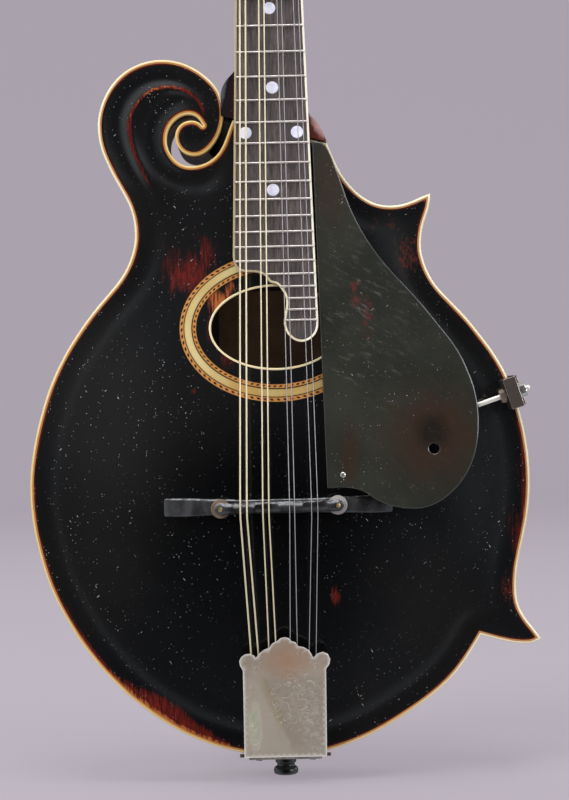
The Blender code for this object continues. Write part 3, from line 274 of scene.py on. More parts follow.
# back out of the slot to the neck
SLOT = [
    (-34.3, 322.3), (-35.9, 325.5), (-38, 327.4), (-40.6, 328.2), (-43.5, 327.9), (-46.5, 326.6),
    (-49.3, 324.2), (-51.3, 321.2), (-52.4, 317.7), (-52.5, 314.2), (-51.7, 310.6),
    (-49.9, 307.3), (-47.5, 304.6), (-44.5, 302.8), (-40.7, 302.1), (-36.3, 302.6), (-32.3, 304),
    (-28.8, 306.3), (-25.8, 309.8), (-23.4, 314.5), (-21.4, 320), (-19.4, 324.7)]
GUARD = [
    (19.7, 312.7), (23.4, 312.2), (26.1, 310.4), (28.1, 306.9), (30.7, 299.8), (33.3, 292.1),
    (35.9, 283.8), (39.8, 274), (45, 264.2), (51.6, 254.2), (60.8, 243.1), (70.1, 232.5),
    (78, 222.3), (84.6, 213.7), (89.8, 205.4), (93.6, 196.6), (96.1, 188.9), (97.5, 180.6),
    (97.6, 169.9), (95.9, 159), (92.2, 149.6), (86.5, 141.6), (79.7, 135.7), (72.8, 132.3),
    (66.2, 131.2), (59, 131.8), (51.2, 133.7), (45.8, 136.6), (41, 139.9), (35, 141.8),
    (28.2, 142.2), (23.1, 141.9)]
BOARD_END = [
    (20.6, 223.9), (19.9, 218.7), (16.8, 215), (12.8, 213.5), (8.1, 214.9), (5, 218.4),
    (3.9, 222), (4.7, 229), (5.1, 235), (2.5, 240.3), (0, 242.5), (-2.6, 243), (-4, 245.2),
    (-5.8, 246.9), (-7.6, 247.7), (-12.6, 248.3), (-16.2, 248.7), (-18.6, 250), (-20, 252.7),
    (-20.5, 255.8)]
# scalloped upper edge of the tailpiece cover
CLOUD = [
    (20.7, 51.2), (20.7, 53.6), (22.3, 55.9), (22.9, 58.4), (21.7, 61.1), (19.3, 62.2),
    (16.2, 61.2), (14.7, 59.3), (12.6, 63.1), (10, 64.7), (7.4, 65.3), (5.9, 67.3), (4.3, 67.7),
    (2.8, 69.3), (1, 69.9), (-1.4, 69.3), (-2.7, 68.1), (-4.3, 67.4), (-5.6, 66.5), (-6.7, 64.8),
    (-9.4, 63.8), (-11.4, 62.3), (-13.5, 59.8), (-14.4, 61.1), (-16.4, 62), (-18.8, 61.7),
    (-20.6, 60.4), (-21.6, 58.4), (-21.3, 56.3), (-20, 53.7), (-19.9, 51.5)]
# raised line on the scroll
RIDGE = [
    (-57, 281), (-59.5, 289.4), (-63, 296.9), (-68.2, 308.4), (-70.7, 320.9), (-70, 328.3),
    (-66.2, 334.7), (-60.1, 340), (-52.1, 341.8), (-44.2, 340.7), (-37.8, 336.3), (-34.2, 331),
    (-33.9, 325)]
# right half of the headstock: (x, v), v up the head from the nut
HEAD_OUTLINE = [
    (14.2, -6), (14.4, 4), (16.5, 12), (23, 20), (29, 27), (31, 36), (30.2, 50), (28.6, 70),
    (28.2, 90), (29.4, 106), (31.5, 117), (31.8, 126), (28.5, 133), (22, 136.5), (15, 139),
    (8.5, 144.5), (0, 148.5)]

# Arching: a long arch, faded out across the body towards its half width.
WIDTH_Y = [BUTT_Y, 10, 13, 20, 35, 55, 75, 98, 120, 140, 160, 180, 200, 215, 230, 245, 260, 275,
           290, 305, 330]
WIDTH_X = [0, 16, 28, 47, 70, 91, 104.5, 115.5, 121.8, 123.9, 122.6, 118.7, 110.5, 101, 89, 77,
           69, 62, 50, 37, 22]
half_width = cubic(np.sqrt(np.array(WIDTH_Y) - BUTT_Y), WIDTH_X)
TOP_ARCH = cubic(
    [8, 18, 30, 45, 65, 85, 105, 125, 145, 162, 180, 200, 221, 240, 260, 280, 300, 318, 360],
    [0, .35, 1.8, 4.4, 7.8, 10.6, 12.6, 13.7, 14, 13.8, 13.1, 11.9, 10.2, 8.5, 6.6, 4.7, 2.9,
     1.5, 0])
BACK_ARCH = cubic(
    [8, 18, 30, 45, 65, 85, 105, 125, 145, 165, 190, 215, 240, 260, 280, 300, 318, 360],
    [0, .3, 1.5, 3.7, 6.7, 9.2, 11.0, 12.0, 12.3, 12.1, 11.0, 9.1, 6.9, 5.1, 3.3, 1.6, .5, 0])


# ---------------------------------------------------- shapes: (vertices, faces) pairs
def translation(x, y, z):
    matrix = np.eye(4)
    matrix[:3, 3] = (x, y, z)
    return matrix


def rotation(axis, angle):
    return np.array(Matrix.Rotation(angle, 4, axis), float)


FRAME = np.array([(MM, 0, 0, 0), (0, 0, -MM, 0), (0, MM, 0, 4 * MM), (0, 0, 0, 1)], float)
HEAD = FRAME @ translation(*HEAD_ORIGIN) @ rotation("X", -HEAD_ANGLE)
CLAMP = FRAME @ translation(117.6, 187.3, EDGE) @ rotation("Z", math.radians(18.0))
Z_ALONG_X = rotation("Y", math.pi / 2)
Z_ALONG_MINUS_Y = rotation("X", math.pi / 2)
UPSIDE_DOWN = rotation("X", math.pi)


def placed(shape, matrix):
    verts, faces = shape
    return np.asarray(verts, float) @ matrix[:3, :3].T + matrix[:3, 3], faces


def joined(parts):
    """Several shapes as one."""
    verts, faces, count = [], [], 0
    for part_verts, part_faces in parts:
        verts.append(np.asarray(part_verts, float))
        faces += [tuple(i + count for i in face) for face in part_faces]
        count += len(part_verts)
    return np.concatenate(verts), faces


def flipped(shape):
    return shape[0], [face[::-1] for face in shape[1]]


def loft(sections, wrap=False):
    """Rings of equal count skinned together; capped unless the last meets the first."""
    n, size = len(sections), len(sections[0])
    verts = np.concatenate([np.asarray(section, float) for section in sections])
    faces = []
    for i in range(n if wrap else n - 1):
        a, b = i * size, ((i + 1) % n) * size
        for j in range(size):
            k = (j + 1) % size
            faces.append((a + j, a + k, b + k, b + j))
    if not wrap:
        faces.append(tuple(range(size))[::-1])
        faces.append(tuple(range((n - 1) * size, n * size)))
    return verts, faces


def revolve(profile, seg, closed=False, wobble=None):
    """(radius, height) profile spun about z; wobble(r, z, angle) may change the radius."""
    sections = []
    for i in range(seg):
        angle = 2 * math.pi * i / seg
        ring = []
        for radius, z in profile:
            r = wobble(radius, z, angle) if wobble else radius
            ring.append((r * math.cos(angle), r * math.sin(angle), z))
        sections.append(ring)
    verts, faces = loft(sections, wrap=True)
    if not closed:
        size = len(profile)
        faces = [f for f in faces if not (f[0] % size == size - 1 and f[1] % size == 0)]
    return verts, faces


def turned(profile, seg):
    """A solid of revolution whose profile starts and ends on the axis, welded there."""
    verts, faces = revolve(profile, seg)
    _, first, merged = np.unique(np.round(verts / 1e-4), axis=0, return_index=True,
                                 return_inverse=True)
    merged = merged.reshape(-1)
    kept = []
    for face in faces:
        corners = []
        for i in face:
            j = int(merged[i])
            if not corners or corners[-1] != j:
                corners.append(j)
        if len(corners) > 1 and corners[0] == corners[-1]:
            corners.pop()
        if len(set(corners)) >= 3:
            kept.append(tuple(corners))
    return verts[first], kept


def cylinder(radius, high, low, seg):
    return turned([(0, high), (radius, high), (radius, low), (0, low)], seg)


def sweep(path, radius, seg):
    """A round wire along a polyline, its rings carried along without twist."""
    path = np.asarray(path, float)
    tangent = np.gradient(path, axis=0)
    tangent /= np.maximum(np.linalg.norm(tangent, axis=1), 1e-9)[:, None]
    up = np.array([0, 0, 1.0]) if abs(tangent[0][2]) < 0.9 else np.array([1.0, 0, 0])
    normal = np.cross(tangent[0], up)
    normal /= np.linalg.norm(normal)
    angle = np.arange(seg) * 2 * math.pi / seg
    rings = []
    for point, ahead in zip(path, tangent):
        normal = normal - (normal @ ahead) * ahead
        normal /= np.linalg.norm(normal)
        across = np.cross(ahead, normal)
        rings.append(point + radius * (np.cos(angle)[:, None] * normal
                                       + np.sin(angle)[:, None] * across))
    return loft(rings)


def box_shape(low, high):
    (x0, y0, z0), (x1, y1, z1) = low, high
    verts = [(x, y, z) for z in (z0, z1) for x, y in ((x0, y0), (x1, y0), (x1, y1), (x0, y1))]
    faces = [(3, 2, 1, 0), (4, 5, 6, 7), (0, 1, 5, 4), (1, 2, 6, 5), (2, 3, 7, 6), (3, 0, 4, 7)]
    return np.array(verts, float), faces


def side_prism(profile, x0, x1):
    """A (y, z) outline given its thickness along x."""
    return loft([[(x, y, z) for y, z in profile] for x in (x0, x1)])


def plan(loops, extra=None):
    """Points and triangles filling the even-odd area of the loops, and its boundary edges."""
    points, edges = [], []
    for loop in loops:
        start, n = len(points), len(loop)
        points += [(float(x), float(y)) for x, y in loop]
        edges += [(start + i, start + (i + 1) % n) for i in range(n)]
    if extra is not None:
        inside = np.zeros(len(extra), bool)
        for loop in loops:
            inside ^= within(extra, loop)
        points += [(float(x), float(y)) for x, y in extra[inside]]
    points, _, faces, _, _, _ = delaunay_2d_cdt([Vector(p) for p in points], edges, [], 0, 1e-6)
    points = np.array([(p.x, p.y) for p in points])
    faces = np.array([face for face in faces if len(face) == 3])
    centres = points[faces].mean(axis=1)
    inside = np.zeros(len(centres), bool)
    for loop in loops:
        inside ^= within(centres, loop)
    faces = faces[inside]
    a, b, c = (points[faces[:, i]] for i in range(3))
    area = (b[:, 0] - a[:, 0]) * (c[:, 1] - a[:, 1]) - (b[:, 1] - a[:, 1]) * (c[:, 0] - a[:, 0])
    faces[area < 0] = faces[area < 0][:, ::-1]
    faces = faces[np.abs(area) > 1e-9]
    used = np.unique(faces)
    renumber = -np.ones(len(points), int)
    renumber[used] = np.arange(len(used))
    points, faces = points[used], renumber[faces]
    directed = dict.fromkeys(
        (int(face[i]), int(face[(i + 1) % 3])) for face in faces for i in range(3))
    rim = [edge for edge in directed if (edge[1], edge[0]) not in directed]
    return points, faces, rim


def slab(area, top, bottom):
    """A plan between two heights: its upper faces, its lower faces, then its walls."""
    points, triangles, rim = area
    n = len(points)
    verts = np.concatenate([np.column_stack([points, z * np.ones(n)]) for z in (top, bottom)])
    faces = [tuple(t) for t in triangles] + [tuple(t[::-1] + n) for t in triangles]
    return verts, faces + [(a, a + n, b + n, b) for a, b in rim]


def sheet(loops, top, bottom, extra=None):
    """The loops' area between two heights, each a number or a function of x and y."""
    area = plan(loops, extra)
    x, y = area[0].T
    top, bottom = (z(x, y) if callable(z) else z for z in (top, bottom))
    return slab(area, top, bottom)


# ------------------------------------------------------------------- shader building
class Value:
    """A shader output that takes part in sums; each operation adds a Math node."""

    def __init__(self, mat, socket):
        self.mat, self.socket = mat, socket

    def calc(self, operation, first, second=0.0):
        node = self.mat.tree.nodes.new("ShaderNodeMath")
        node.operation = operation
        for socket, value in zip(node.inputs, (first, second, 0.0)):
            self.mat.feed(socket, value)
        return Value(self.mat, node.outputs[0])

    def __add__(self, other):
        return self.calc("ADD", self, other)

    def __radd__(self, other):
        return self.calc("ADD", other, self)

    def __sub__(self, other):
        return self.calc("SUBTRACT", self, other)

    def __rsub__(self, other):
        return self.calc("SUBTRACT", other, self)

    def __mul__(self, other):
        return self.calc("MULTIPLY", self, other)

    def __rmul__(self, other):
        return self.calc("MULTIPLY", other, self)

    def __truediv__(self, other):
        return self.calc("DIVIDE", self, other)

    def __gt__(self, other):
        return self.calc("GREATER_THAN", self, other)

    def __abs__(self):
        return self.calc("ABSOLUTE", self)

    def root(self):
        return self.calc("SQRT", self)

    def fraction(self):
        return self.calc("FRACT", self)

    def maximum(self, other):
        return self.calc("MAXIMUM", self, other)

    def clamped(self):
        """The same Math node, its result held between 0 and 1."""
        self.socket.node.use_clamp = True
        return self

    def uneven(self, amount):
        """A noise centred on 0 and scaled."""
        return (self - 0.5) * amount

    def ragged(self, noise, amount):
        """The value disturbed by a noise."""
        return self + noise.uneven(amount)

    def fade(self, start, end, low=0.0, high=1.0):
        """Smooth step from low at start to high at end."""
        node = self.mat.node("MapRange", Value=self, From_Min=start, From_Max=end, To_Min=low,
                             To_Max=high)
        node.interpolation_type = "SMOOTHSTEP"
        return Value(self.mat, node.outputs[0])


class Paint:
    """A Principled material with short names for the nodes that feed it."""

    def __init__(self, name):
        self.material = bpy.data.materials.new(name)
        self.material.use_nodes = True
        self.tree = self.material.node_tree
        self.where = Value(self, self.node("TexCoord").outputs["Object"])

    @cached_property
    def place(self):
        """The x, y and z of a point in the row frame, in metres."""
        return self.split("XYZ", self.where)

    def feed(self, socket, value):
        if isinstance(value, Value):
            self.tree.links.new(value.socket, socket)
        elif isinstance(value, tuple) and len(value) == 3 and socket.type == "RGBA":
            socket.default_value = (*value, 1)
        else:
            socket.default_value = value

    def node(self, kind, **inputs):
        node = self.tree.nodes.new("ShaderNode" + kind)
        for key, value in inputs.items():
            self.feed(node.inputs[key.replace("_", " ")], value)
        return node

    def finish(self, **inputs):
        """Feeds the Principled node and returns the material."""
        shader = self.tree.nodes["Principled BSDF"]
        for key, value in inputs.items():
            self.feed(shader.inputs[key.replace("_", " ")], value)
        return self.material

    def split(self, kind, source):
        node = self.node("Separate" + kind)
        self.feed(node.inputs[0], source)
        return [Value(self, socket) for socket in node.outputs]

    def stretch(self, scale, turn=None, source=None):
        """Coordinates turned by Euler angles, then scaled along each axis."""
        source = source or self.where
        if turn:
            source = Value(self, self.node("Mapping", Vector=source, Rotation=turn).outputs[0])
        return Value(self, self.node("Mapping", Vector=source, Scale=scale).outputs[0])

    def noise(self, scale, detail=3.0, rough=0.55, at=None, distortion=0.0):
        node = self.node("TexNoise", Scale=scale, Detail=detail, Roughness=rough,
                         Distortion=distortion, Vector=at or self.where)
        return Value(self, node.outputs["Fac"])

    def grain(self, scale, detail=3.0, rough=0.55, turn=None, distortion=0.0):
        """Noise with its own scale along each axis, per metre."""
        return self.noise(1.0, detail, rough, self.stretch(scale, turn), distortion)

    def cells(self, scale, at=None, feature="F1"):
        """Distance and colour of a Voronoi pattern."""
        node = self.node("TexVoronoi", Scale=scale, Vector=at or self.where)
        node.feature = feature
        return [Value(self, node.outputs[key]) for key in ("Distance", "Color")]

    def mix(self, share, under, over):
        node = self.node("Mix")
        node.data_type = "RGBA"
        for i, value in ((0, share), (6, under), (7, over)):
            self.feed(node.inputs[i], value)
        return Value(self, node.outputs[2])

    def attribute(self, name):
        node = self.node("Attribute")
        node.attribute_name = name
        return Value(self, node.outputs["Fac"])

    def bump(self, height, strength, distance, **normal):
        node = self.node("Bump", Strength=strength, Distance=distance, Height=height, **normal)
        return Value(self, node.outputs[0])

    def around(self, x, z, half_x, half_z, lean=None):
        """Distance from (x, z), reckoned as 1 on an ellipse, which may lean."""
        up = self.place[2] - z
        side = self.place[0] - x
        if lean is not None:
            side = side - up * lean
        side, up = side / half_x, up / half_z
        return (side * side + up * up).root()

    def tone_patch(self, colour, tone, amount, distance, start=0.2, end=1.2):
        """A tone laid on up to an amount, gone where the distance reaches end."""
        return self.mix(distance.fade(start, end, amount, 0.0), colour, tone)

    def specks(self, scale, size, share, at=None):
        """Small spots: a share of the cells of a Voronoi pattern hold one each."""
        distance, colour = self.cells(scale, at)
        pick = self.split("Color", colour)
        chosen = pick[0] > 1 - share
        radius = size * (0.35 + pick[1])
        spot = (1.0 - distance / radius).clamped()
        return spot.fade(0.0, 0.45) * chosen

    def dust(self, amount):
        """Pale dust and short bent lint over a surface."""
        coarse = self.specks(360, size=0.075, share=0.34)
        fine = self.specks(800, size=0.150, share=0.42)
        warp = self.node("VectorMath")
        warp.operation = "MULTIPLY_ADD"
        bend = self.noise(90, detail=2.0) * 0.004
        for socket, value in zip(warp.inputs, (self.where, (1, 1, 1), bend)):
            self.feed(socket, value)
        bent = Value(self, warp.outputs[0])
        lint = [self.specks(1.0, size=0.12, share=0.10, at=self.stretch(scale, turn, bent))
                for scale, turn in (((640, 400, 120), (0, 0.6, 0)),
                                    ((620, 400, 130), (0, -0.9, 0)))]
        area = self.noise(17, detail=4.0).fade(0.36, 0.66, 0.12, 1.0)
        total = coarse.maximum(fine * 0.75).maximum(lint[0].maximum(lint[1]))
        return (total * area * amount).clamped()


def scaled(colour, factor):
    return tuple(c * factor for c in colour)


# ------------------------------------------------------------------------- materials
def lacquer_top():
    """Black lacquer, worn to red and to bare wood where the mesh attributes say."""
    mat = Paint("black_lacquer_top")
    red, tan, edge, chips = (mat.attribute(name) for name in
                             ("wear_red", "wear_tan", "rim_line", "wear_fleck"))
    # broken edges of the worn areas, drawn out along the grain
    streak = mat.grain((900, 900, 34), detail=4.0, rough=0.65)
    coarse = mat.grain((260, 260, 40), rough=0.6)
    grain = streak * 0.6 + coarse * 0.4
    fleck = mat.grain((1500, 1500, 150), detail=4.0, rough=0.7).fade(0.34, 0.62, 0.25, 1.0)
    red_on = red.ragged(grain, 2.4).fade(0.34, 0.98) * red.fade(0.03, 0.30) * fleck
    teeth = mat.grain((950, 950, 14), detail=2.0).fade(0.40, 0.52, 0.15, 1.0)
    tan_on = tan.ragged(grain, 1.8).fade(0.50, 0.85) * tan.fade(0.05, 0.3) * teeth
    crumb = mat.grain((1150, 1150, 420), detail=4.0, rough=0.75)
    chip_on = chips.ragged(crumb, 3.0).fade(0.66, 0.95) * chips.fade(0.05, 0.30, 0.0, 0.85)
    # painted reflection and sheen: the black is deepened low in the middle and lifted to a grey
    # sheen on the bass and treble sides; by the upper treble point it is greyer round the fine wear
    broad = mat.noise(11, rough=0.5)
    black = mat.mix(broad.fade(0.35, 0.7), (0.0048, 0.0053, 0.0060), (0.0076, 0.0074, 0.0070))
    for tone, amount, ellipse, start, end in (
        ((0.0010, 0.0011, 0.0012), 0.88, (-0.015, 0.105, 0.080, 0.090), 0.45, 1.15),
        ((0.0140, 0.0142, 0.0138), 0.75, (-0.088, 0.190, 0.040, 0.062), 0.2, 1.2),
        ((0.0150, 0.0172, 0.0165), 0.85, (0.098, 0.160, 0.020, 0.055), 0.2, 1.2),
        ((0.0150, 0.0165, 0.0165), 0.75, (0.058, 0.262, 0.014, 0.022), 0.2, 1.2),
    ):
        distance = mat.around(*ellipse).ragged(broad, 0.7)
        black = mat.tone_patch(black, tone, amount, distance, start, end)
    deep_red = mat.mix(mat.grain((500, 500, 60)), (0.040, 0.0040, 0.0030), (0.185, 0.017, 0.010))
    chipped = mat.mix(crumb, (0.105, 0.022, 0.013), (0.055, 0.014, 0.010))
    bare = mat.mix(mat.grain((1100, 1100, 30), detail=4.0),
                   (0.19, 0.030, 0.008), (0.44, 0.15, 0.040))
    line = edge * mat.noise(70).fade(0.36, 0.62, 0.15, 1.0)
    dust = mat.dust(0.85)
    colour = mat.mix(red_on, black, deep_red)
    colour = mat.mix(chip_on, colour, chipped)
    colour = mat.mix(line * 0.8, colour, (0.13, 0.012, 0.006))
    colour = mat.mix(tan_on, colour, bare)
    colour = mat.mix(dust, colour, (0.50, 0.52, 0.55))
    haze = mat.noise(26, detail=5.0, rough=0.7).fade(0.45, 0.8)
    rough = (haze * 0.10 + 0.14 + dust * 0.5).clamped()
    ripple = mat.grain((420, 420, 16), detail=2.0) * 0.35 + mat.noise(38, detail=2.0) * 1.0
    normal = mat.bump(ripple, strength=0.12, distance=0.0006)
    sunk = red_on.maximum(tan_on) * -1.0
    normal = mat.bump(sunk, strength=0.25, distance=0.0001, Normal=normal)
    return mat.finish(Base_Color=colour, Roughness=rough, Normal=normal, IOR=1.5,
                      Coat_Weight=(0.55 - dust).clamped(), Coat_Roughness=0.06)


def lacquer_brown(name, dark, warm, neck=False):
    """Red-brown lacquer, darker with the "shade" attribute; figured except on the neck."""
    mat = Paint(name)
    shade = mat.attribute("shade")
    if neck:
        figure = mat.grain((90, 90, 9))
    else:
        figure = mat.grain((26, 26, 120), detail=4.0, rough=0.6, turn=(0, 0.25, 0))
    fine = mat.grain((700, 700, 40), detail=4.0, rough=0.65)
    colour = mat.mix(figure.fade(0.35, 0.68), warm, scaled(warm, 1.9))
    colour = mat.mix(fine.fade(0.45, 0.75, 0.0, 0.6), colour, scaled(warm, 0.55))
    colour = mat.mix(shade, colour, dark)
    worn = (mat.noise(30, detail=5.0, rough=0.7) + shade * 0.05).fade(0.66, 0.80)
    colour = mat.mix(worn * 0.5, colour, (0.16, 0.05, 0.02))
    if neck:
        # painted highlights on the heel: pale on its treble corner and grey down its bass edge
        for tone, amount, ellipse in (
            ((0.46, 0.27, 0.26), 0.90, (0.0222, 0.3270, 0.0032, 0.0095, -0.36)),
            ((0.085, 0.090, 0.105), 0.85, (-0.0236, 0.3450, 0.0016, 0.0110, 0.18)),
        ):
            distance = mat.around(*ellipse).ragged(mat.noise(260, detail=4.0, rough=0.7), 0.9)
            colour = mat.tone_patch(colour, tone, amount, distance, start=0.3, end=1.15)
    colour = mat.mix(mat.dust(0.35), colour, (0.35, 0.34, 0.33))
    rough = mat.noise(40, detail=4.0) * 0.16 + (0.12 + worn * 0.25)
    normal = mat.bump(mat.noise(45, detail=2.0), strength=0.10, distance=0.0006)
    return mat.finish(Base_Color=colour, Roughness=rough, Normal=normal, Coat_Weight=0.5,
                      Coat_Roughness=0.08)


def celluloid(name, pale, old, edge_stain=False, board=False):
    """Yellowed celluloid or bone; binding may be stained inwards, or carry painted shade on its bass
    edge and a painted highlight on its treble edge.
    """
    mat = Paint(name)
    patches = mat.noise(16, rough=0.6).fade(0.38, 0.72, 0.0, 0.75)
    colour = mat.mix(patches, pale, old)
    grime = mat.noise(420, rough=0.6).fade(0.5, 0.8, 0, 0.25)
    colour = mat.mix(grime, colour, (0.48, 0.36, 0.18))
    if edge_stain:
        yellowed = (mat.attribute("tone") * 0.85).clamped()
        colour = mat.mix(yellowed, colour, (0.60, 0.41, 0.115))
        tone_patch = mat.attribute("across").ragged(mat.noise(120), 0.30).fade(0.44, 0.62)
        colour = mat.mix(tone_patch * 0.9, colour, (0.36, 0.135, 0.022))
    if board:
        # painted shade along the bass edge, painted highlight along the treble edge
        x = mat.place[0]
        colour = mat.mix(x.fade(0.004, -0.008, 0.0, 0.75), colour, (0.30, 0.23, 0.12))
        colour = mat.mix(x.fade(0.008, 0.018, 0.0, 0.8), colour, (0.88, 0.84, 0.72))
    nicks = mat.specks(150, size=0.06, share=0.2)
    colour = mat.mix(nicks * 0.6, colour, (0.10, 0.05, 0.03))
    return mat.finish(
        Base_Color=colour, Roughness=0.26 + mat.noise(90) * 0.18,
        Normal=mat.bump(mat.noise(160), strength=0.12, distance=0.0003),
        Subsurface_Weight=0.12, Subsurface_Radius=(0.004, 0.002, 0.001), Subsurface_Scale=0.3)


def rosette_paint():
    """Two dashed ropes either side of a cream band, laid out on the "inlay" map."""
    mat = Paint("rosette_marquetry")
    uv_map = mat.node("UVMap")
    uv_map.uv_map = "inlay"
    # arc length in mm, and share of the way in from the outer edge
    around, across, _ = mat.split("XYZ", Value(mat, uv_map.outputs[0]))
    wobble = mat.noise(300, detail=2.0).uneven(0.5)
    outer, inner = (0.035, 0.255), (0.765, 0.965)     # the ropes' edges, as shares
    soft, dash_pitch = 0.012, 3.35

    def band(start, end):
        return (across.fade(start - soft, start + soft)
                * across.fade(end - soft, end + soft, 1.0, 0.0))

    def dashes(start, end, lean):
        t = (across - start) / (end - start)
        phase = ((around + wobble + t * lean) / dash_pitch).fraction()
        dash = phase.fade(0.04, 0.12) * phase.fade(0.50, 0.60, 1.0, 0.0)
        slim = t.fade(0.20, 0.32) * t.fade(0.68, 0.80, 1.0, 0.0)
        return dash * slim

    pale_wood = mat.mix(mat.noise(260), (0.40, 0.15, 0.03), (0.52, 0.26, 0.07))
    rope_out, rope_in = band(*outer), band(*inner)
    ivory = band(0.305, 0.70)
    cream = mat.mix(mat.noise(34).fade(0.36, 0.66), (0.49, 0.385, 0.155), (0.43, 0.265, 0.075))
    # broad paler patches in the cream: a painted highlight
    cream = mat.mix(mat.noise(15, detail=2.0).fade(0.42, 0.62, 0, 0.7), cream,
                    (0.60, 0.515, 0.255))
    # the cream darkens towards both its edges: painted shade
    shade = abs(across - 0.5).fade(0.08, 0.20, 0.0, 0.35)
    cream = mat.mix(shade, cream, (0.36, 0.24, 0.07))
    dark = (0.012, 0.008, 0.006)
    colour = mat.mix(rope_out.maximum(rope_in), dark, pale_wood)
    colour = mat.mix(rope_out * dashes(*outer, lean=1.6), colour, dark)
    colour = mat.mix(rope_in * dashes(*inner, lean=-1.4), colour, dark)
    colour = mat.mix(ivory, colour, cream)
    cracks = mat.noise(520, rough=0.7).fade(0.66, 0.78, 0.0, 0.35)
    colour = mat.mix(cracks, colour, (0.10, 0.05, 0.02))
    return mat.finish(
        Base_Color=colour, Roughness=0.2 + mat.noise(80) * 0.15, Coat_Weight=0.5,
        Normal=mat.bump(mat.noise(240), strength=0.10, distance=0.0003), Coat_Roughness=0.1)


def wood(name, light, dark, scale, rough, pores):
    """Bare wood, its grain scaled along each axis."""
    mat = Paint(name)
    x, y, z = scale
    grain = mat.grain(scale, detail=5.0, rough=0.62, distortion=0.3)
    rings = mat.grain((x * 0.22, y * 0.22, z * 0.6), detail=2.0)
    middle = tuple(0.5 * (a + b) for a, b in zip(light, dark))
    colour = mat.mix(grain.fade(0.34, 0.68), light, dark)
    colour = mat.mix(rings.fade(0.42, 0.66, 0, 0.5), colour, middle)
    pore = mat.grain((x * 3, y * 3, z * 2.5), rough=0.7).fade(0.60, 0.72)
    colour = mat.mix(pore * pores, colour, scaled(dark, 0.35))
    normal = mat.bump(grain - pore * 0.6, strength=0.25, distance=0.0002)
    return mat.finish(Base_Color=colour, Roughness=(rough - 0.08) + grain * 0.2, Normal=normal,
                      Coat_Roughness=0.15)


def ebony_board():
    mat = Paint("ebony_board")
    grain = mat.grain((1300, 1300, 34), detail=5.0, rough=0.66)
    waves = mat.grain((240, 240, 20))
    colour = mat.mix(grain.fade(0.30, 0.72), (0.027, 0.021, 0.0195), (0.122, 0.097, 0.088))
    colour = mat.mix(waves.fade(0.4, 0.7, 0, 0.55), colour, (0.042, 0.032, 0.032))
    grime = mat.noise(60, detail=4.0, rough=0.65).fade(0.5, 0.8, 0, 0.5)
    colour = mat.mix(grime, colour, (0.085, 0.072, 0.068))
    colour = mat.mix(mat.dust(0.4), colour, (0.32, 0.31, 0.31))
    normal = mat.bump(grain, strength=0.45, distance=0.00022)
    return mat.finish(Base_Color=colour, Roughness=0.40 + waves * 0.2, Normal=normal,
                      Specular_IOR_Level=0.6)


def black_wood(name, dust_and_sheen=0.7, rough=0.28):
    """Ebonised wood; dust settles on faces that look up, and the dustier kinds carry grey bands of
    painted sheen.
    """
    mat = Paint(name)
    grain = mat.grain((140, 600, 600), detail=4.0, rough=0.6)
    colour = mat.mix(grain, (0.0045, 0.0048, 0.0052), (0.0135, 0.0125, 0.0120))
    if dust_and_sheen > 0.5:
        # grey bands along the length: a painted sheen
        grey_sheen = mat.grain((95, 30, 30), detail=2.0).fade(0.40, 0.66, 0.0, 0.75)
        colour = mat.mix(grey_sheen, colour, (0.050, 0.052, 0.056))
    facing = mat.split("XYZ", Value(mat, mat.node("NewGeometry").outputs["Normal"]))
    settled = (facing[2].fade(0.25, 0.9)
               * mat.noise(240, detail=4.0, rough=0.7).fade(0.42, 0.58))
    film = mat.noise(320, detail=5.0, rough=0.75).fade(0.54, 0.74, 0.0, 0.10)
    dust = (settled + film + mat.dust(0.6)).clamped() * dust_and_sheen
    colour = mat.mix(dust, colour, (0.40, 0.40, 0.41))
    return mat.finish(Base_Color=colour, Roughness=(rough + dust * 0.5).clamped(),
                      Normal=mat.bump(mat.noise(120), strength=0.25, distance=0.0003))


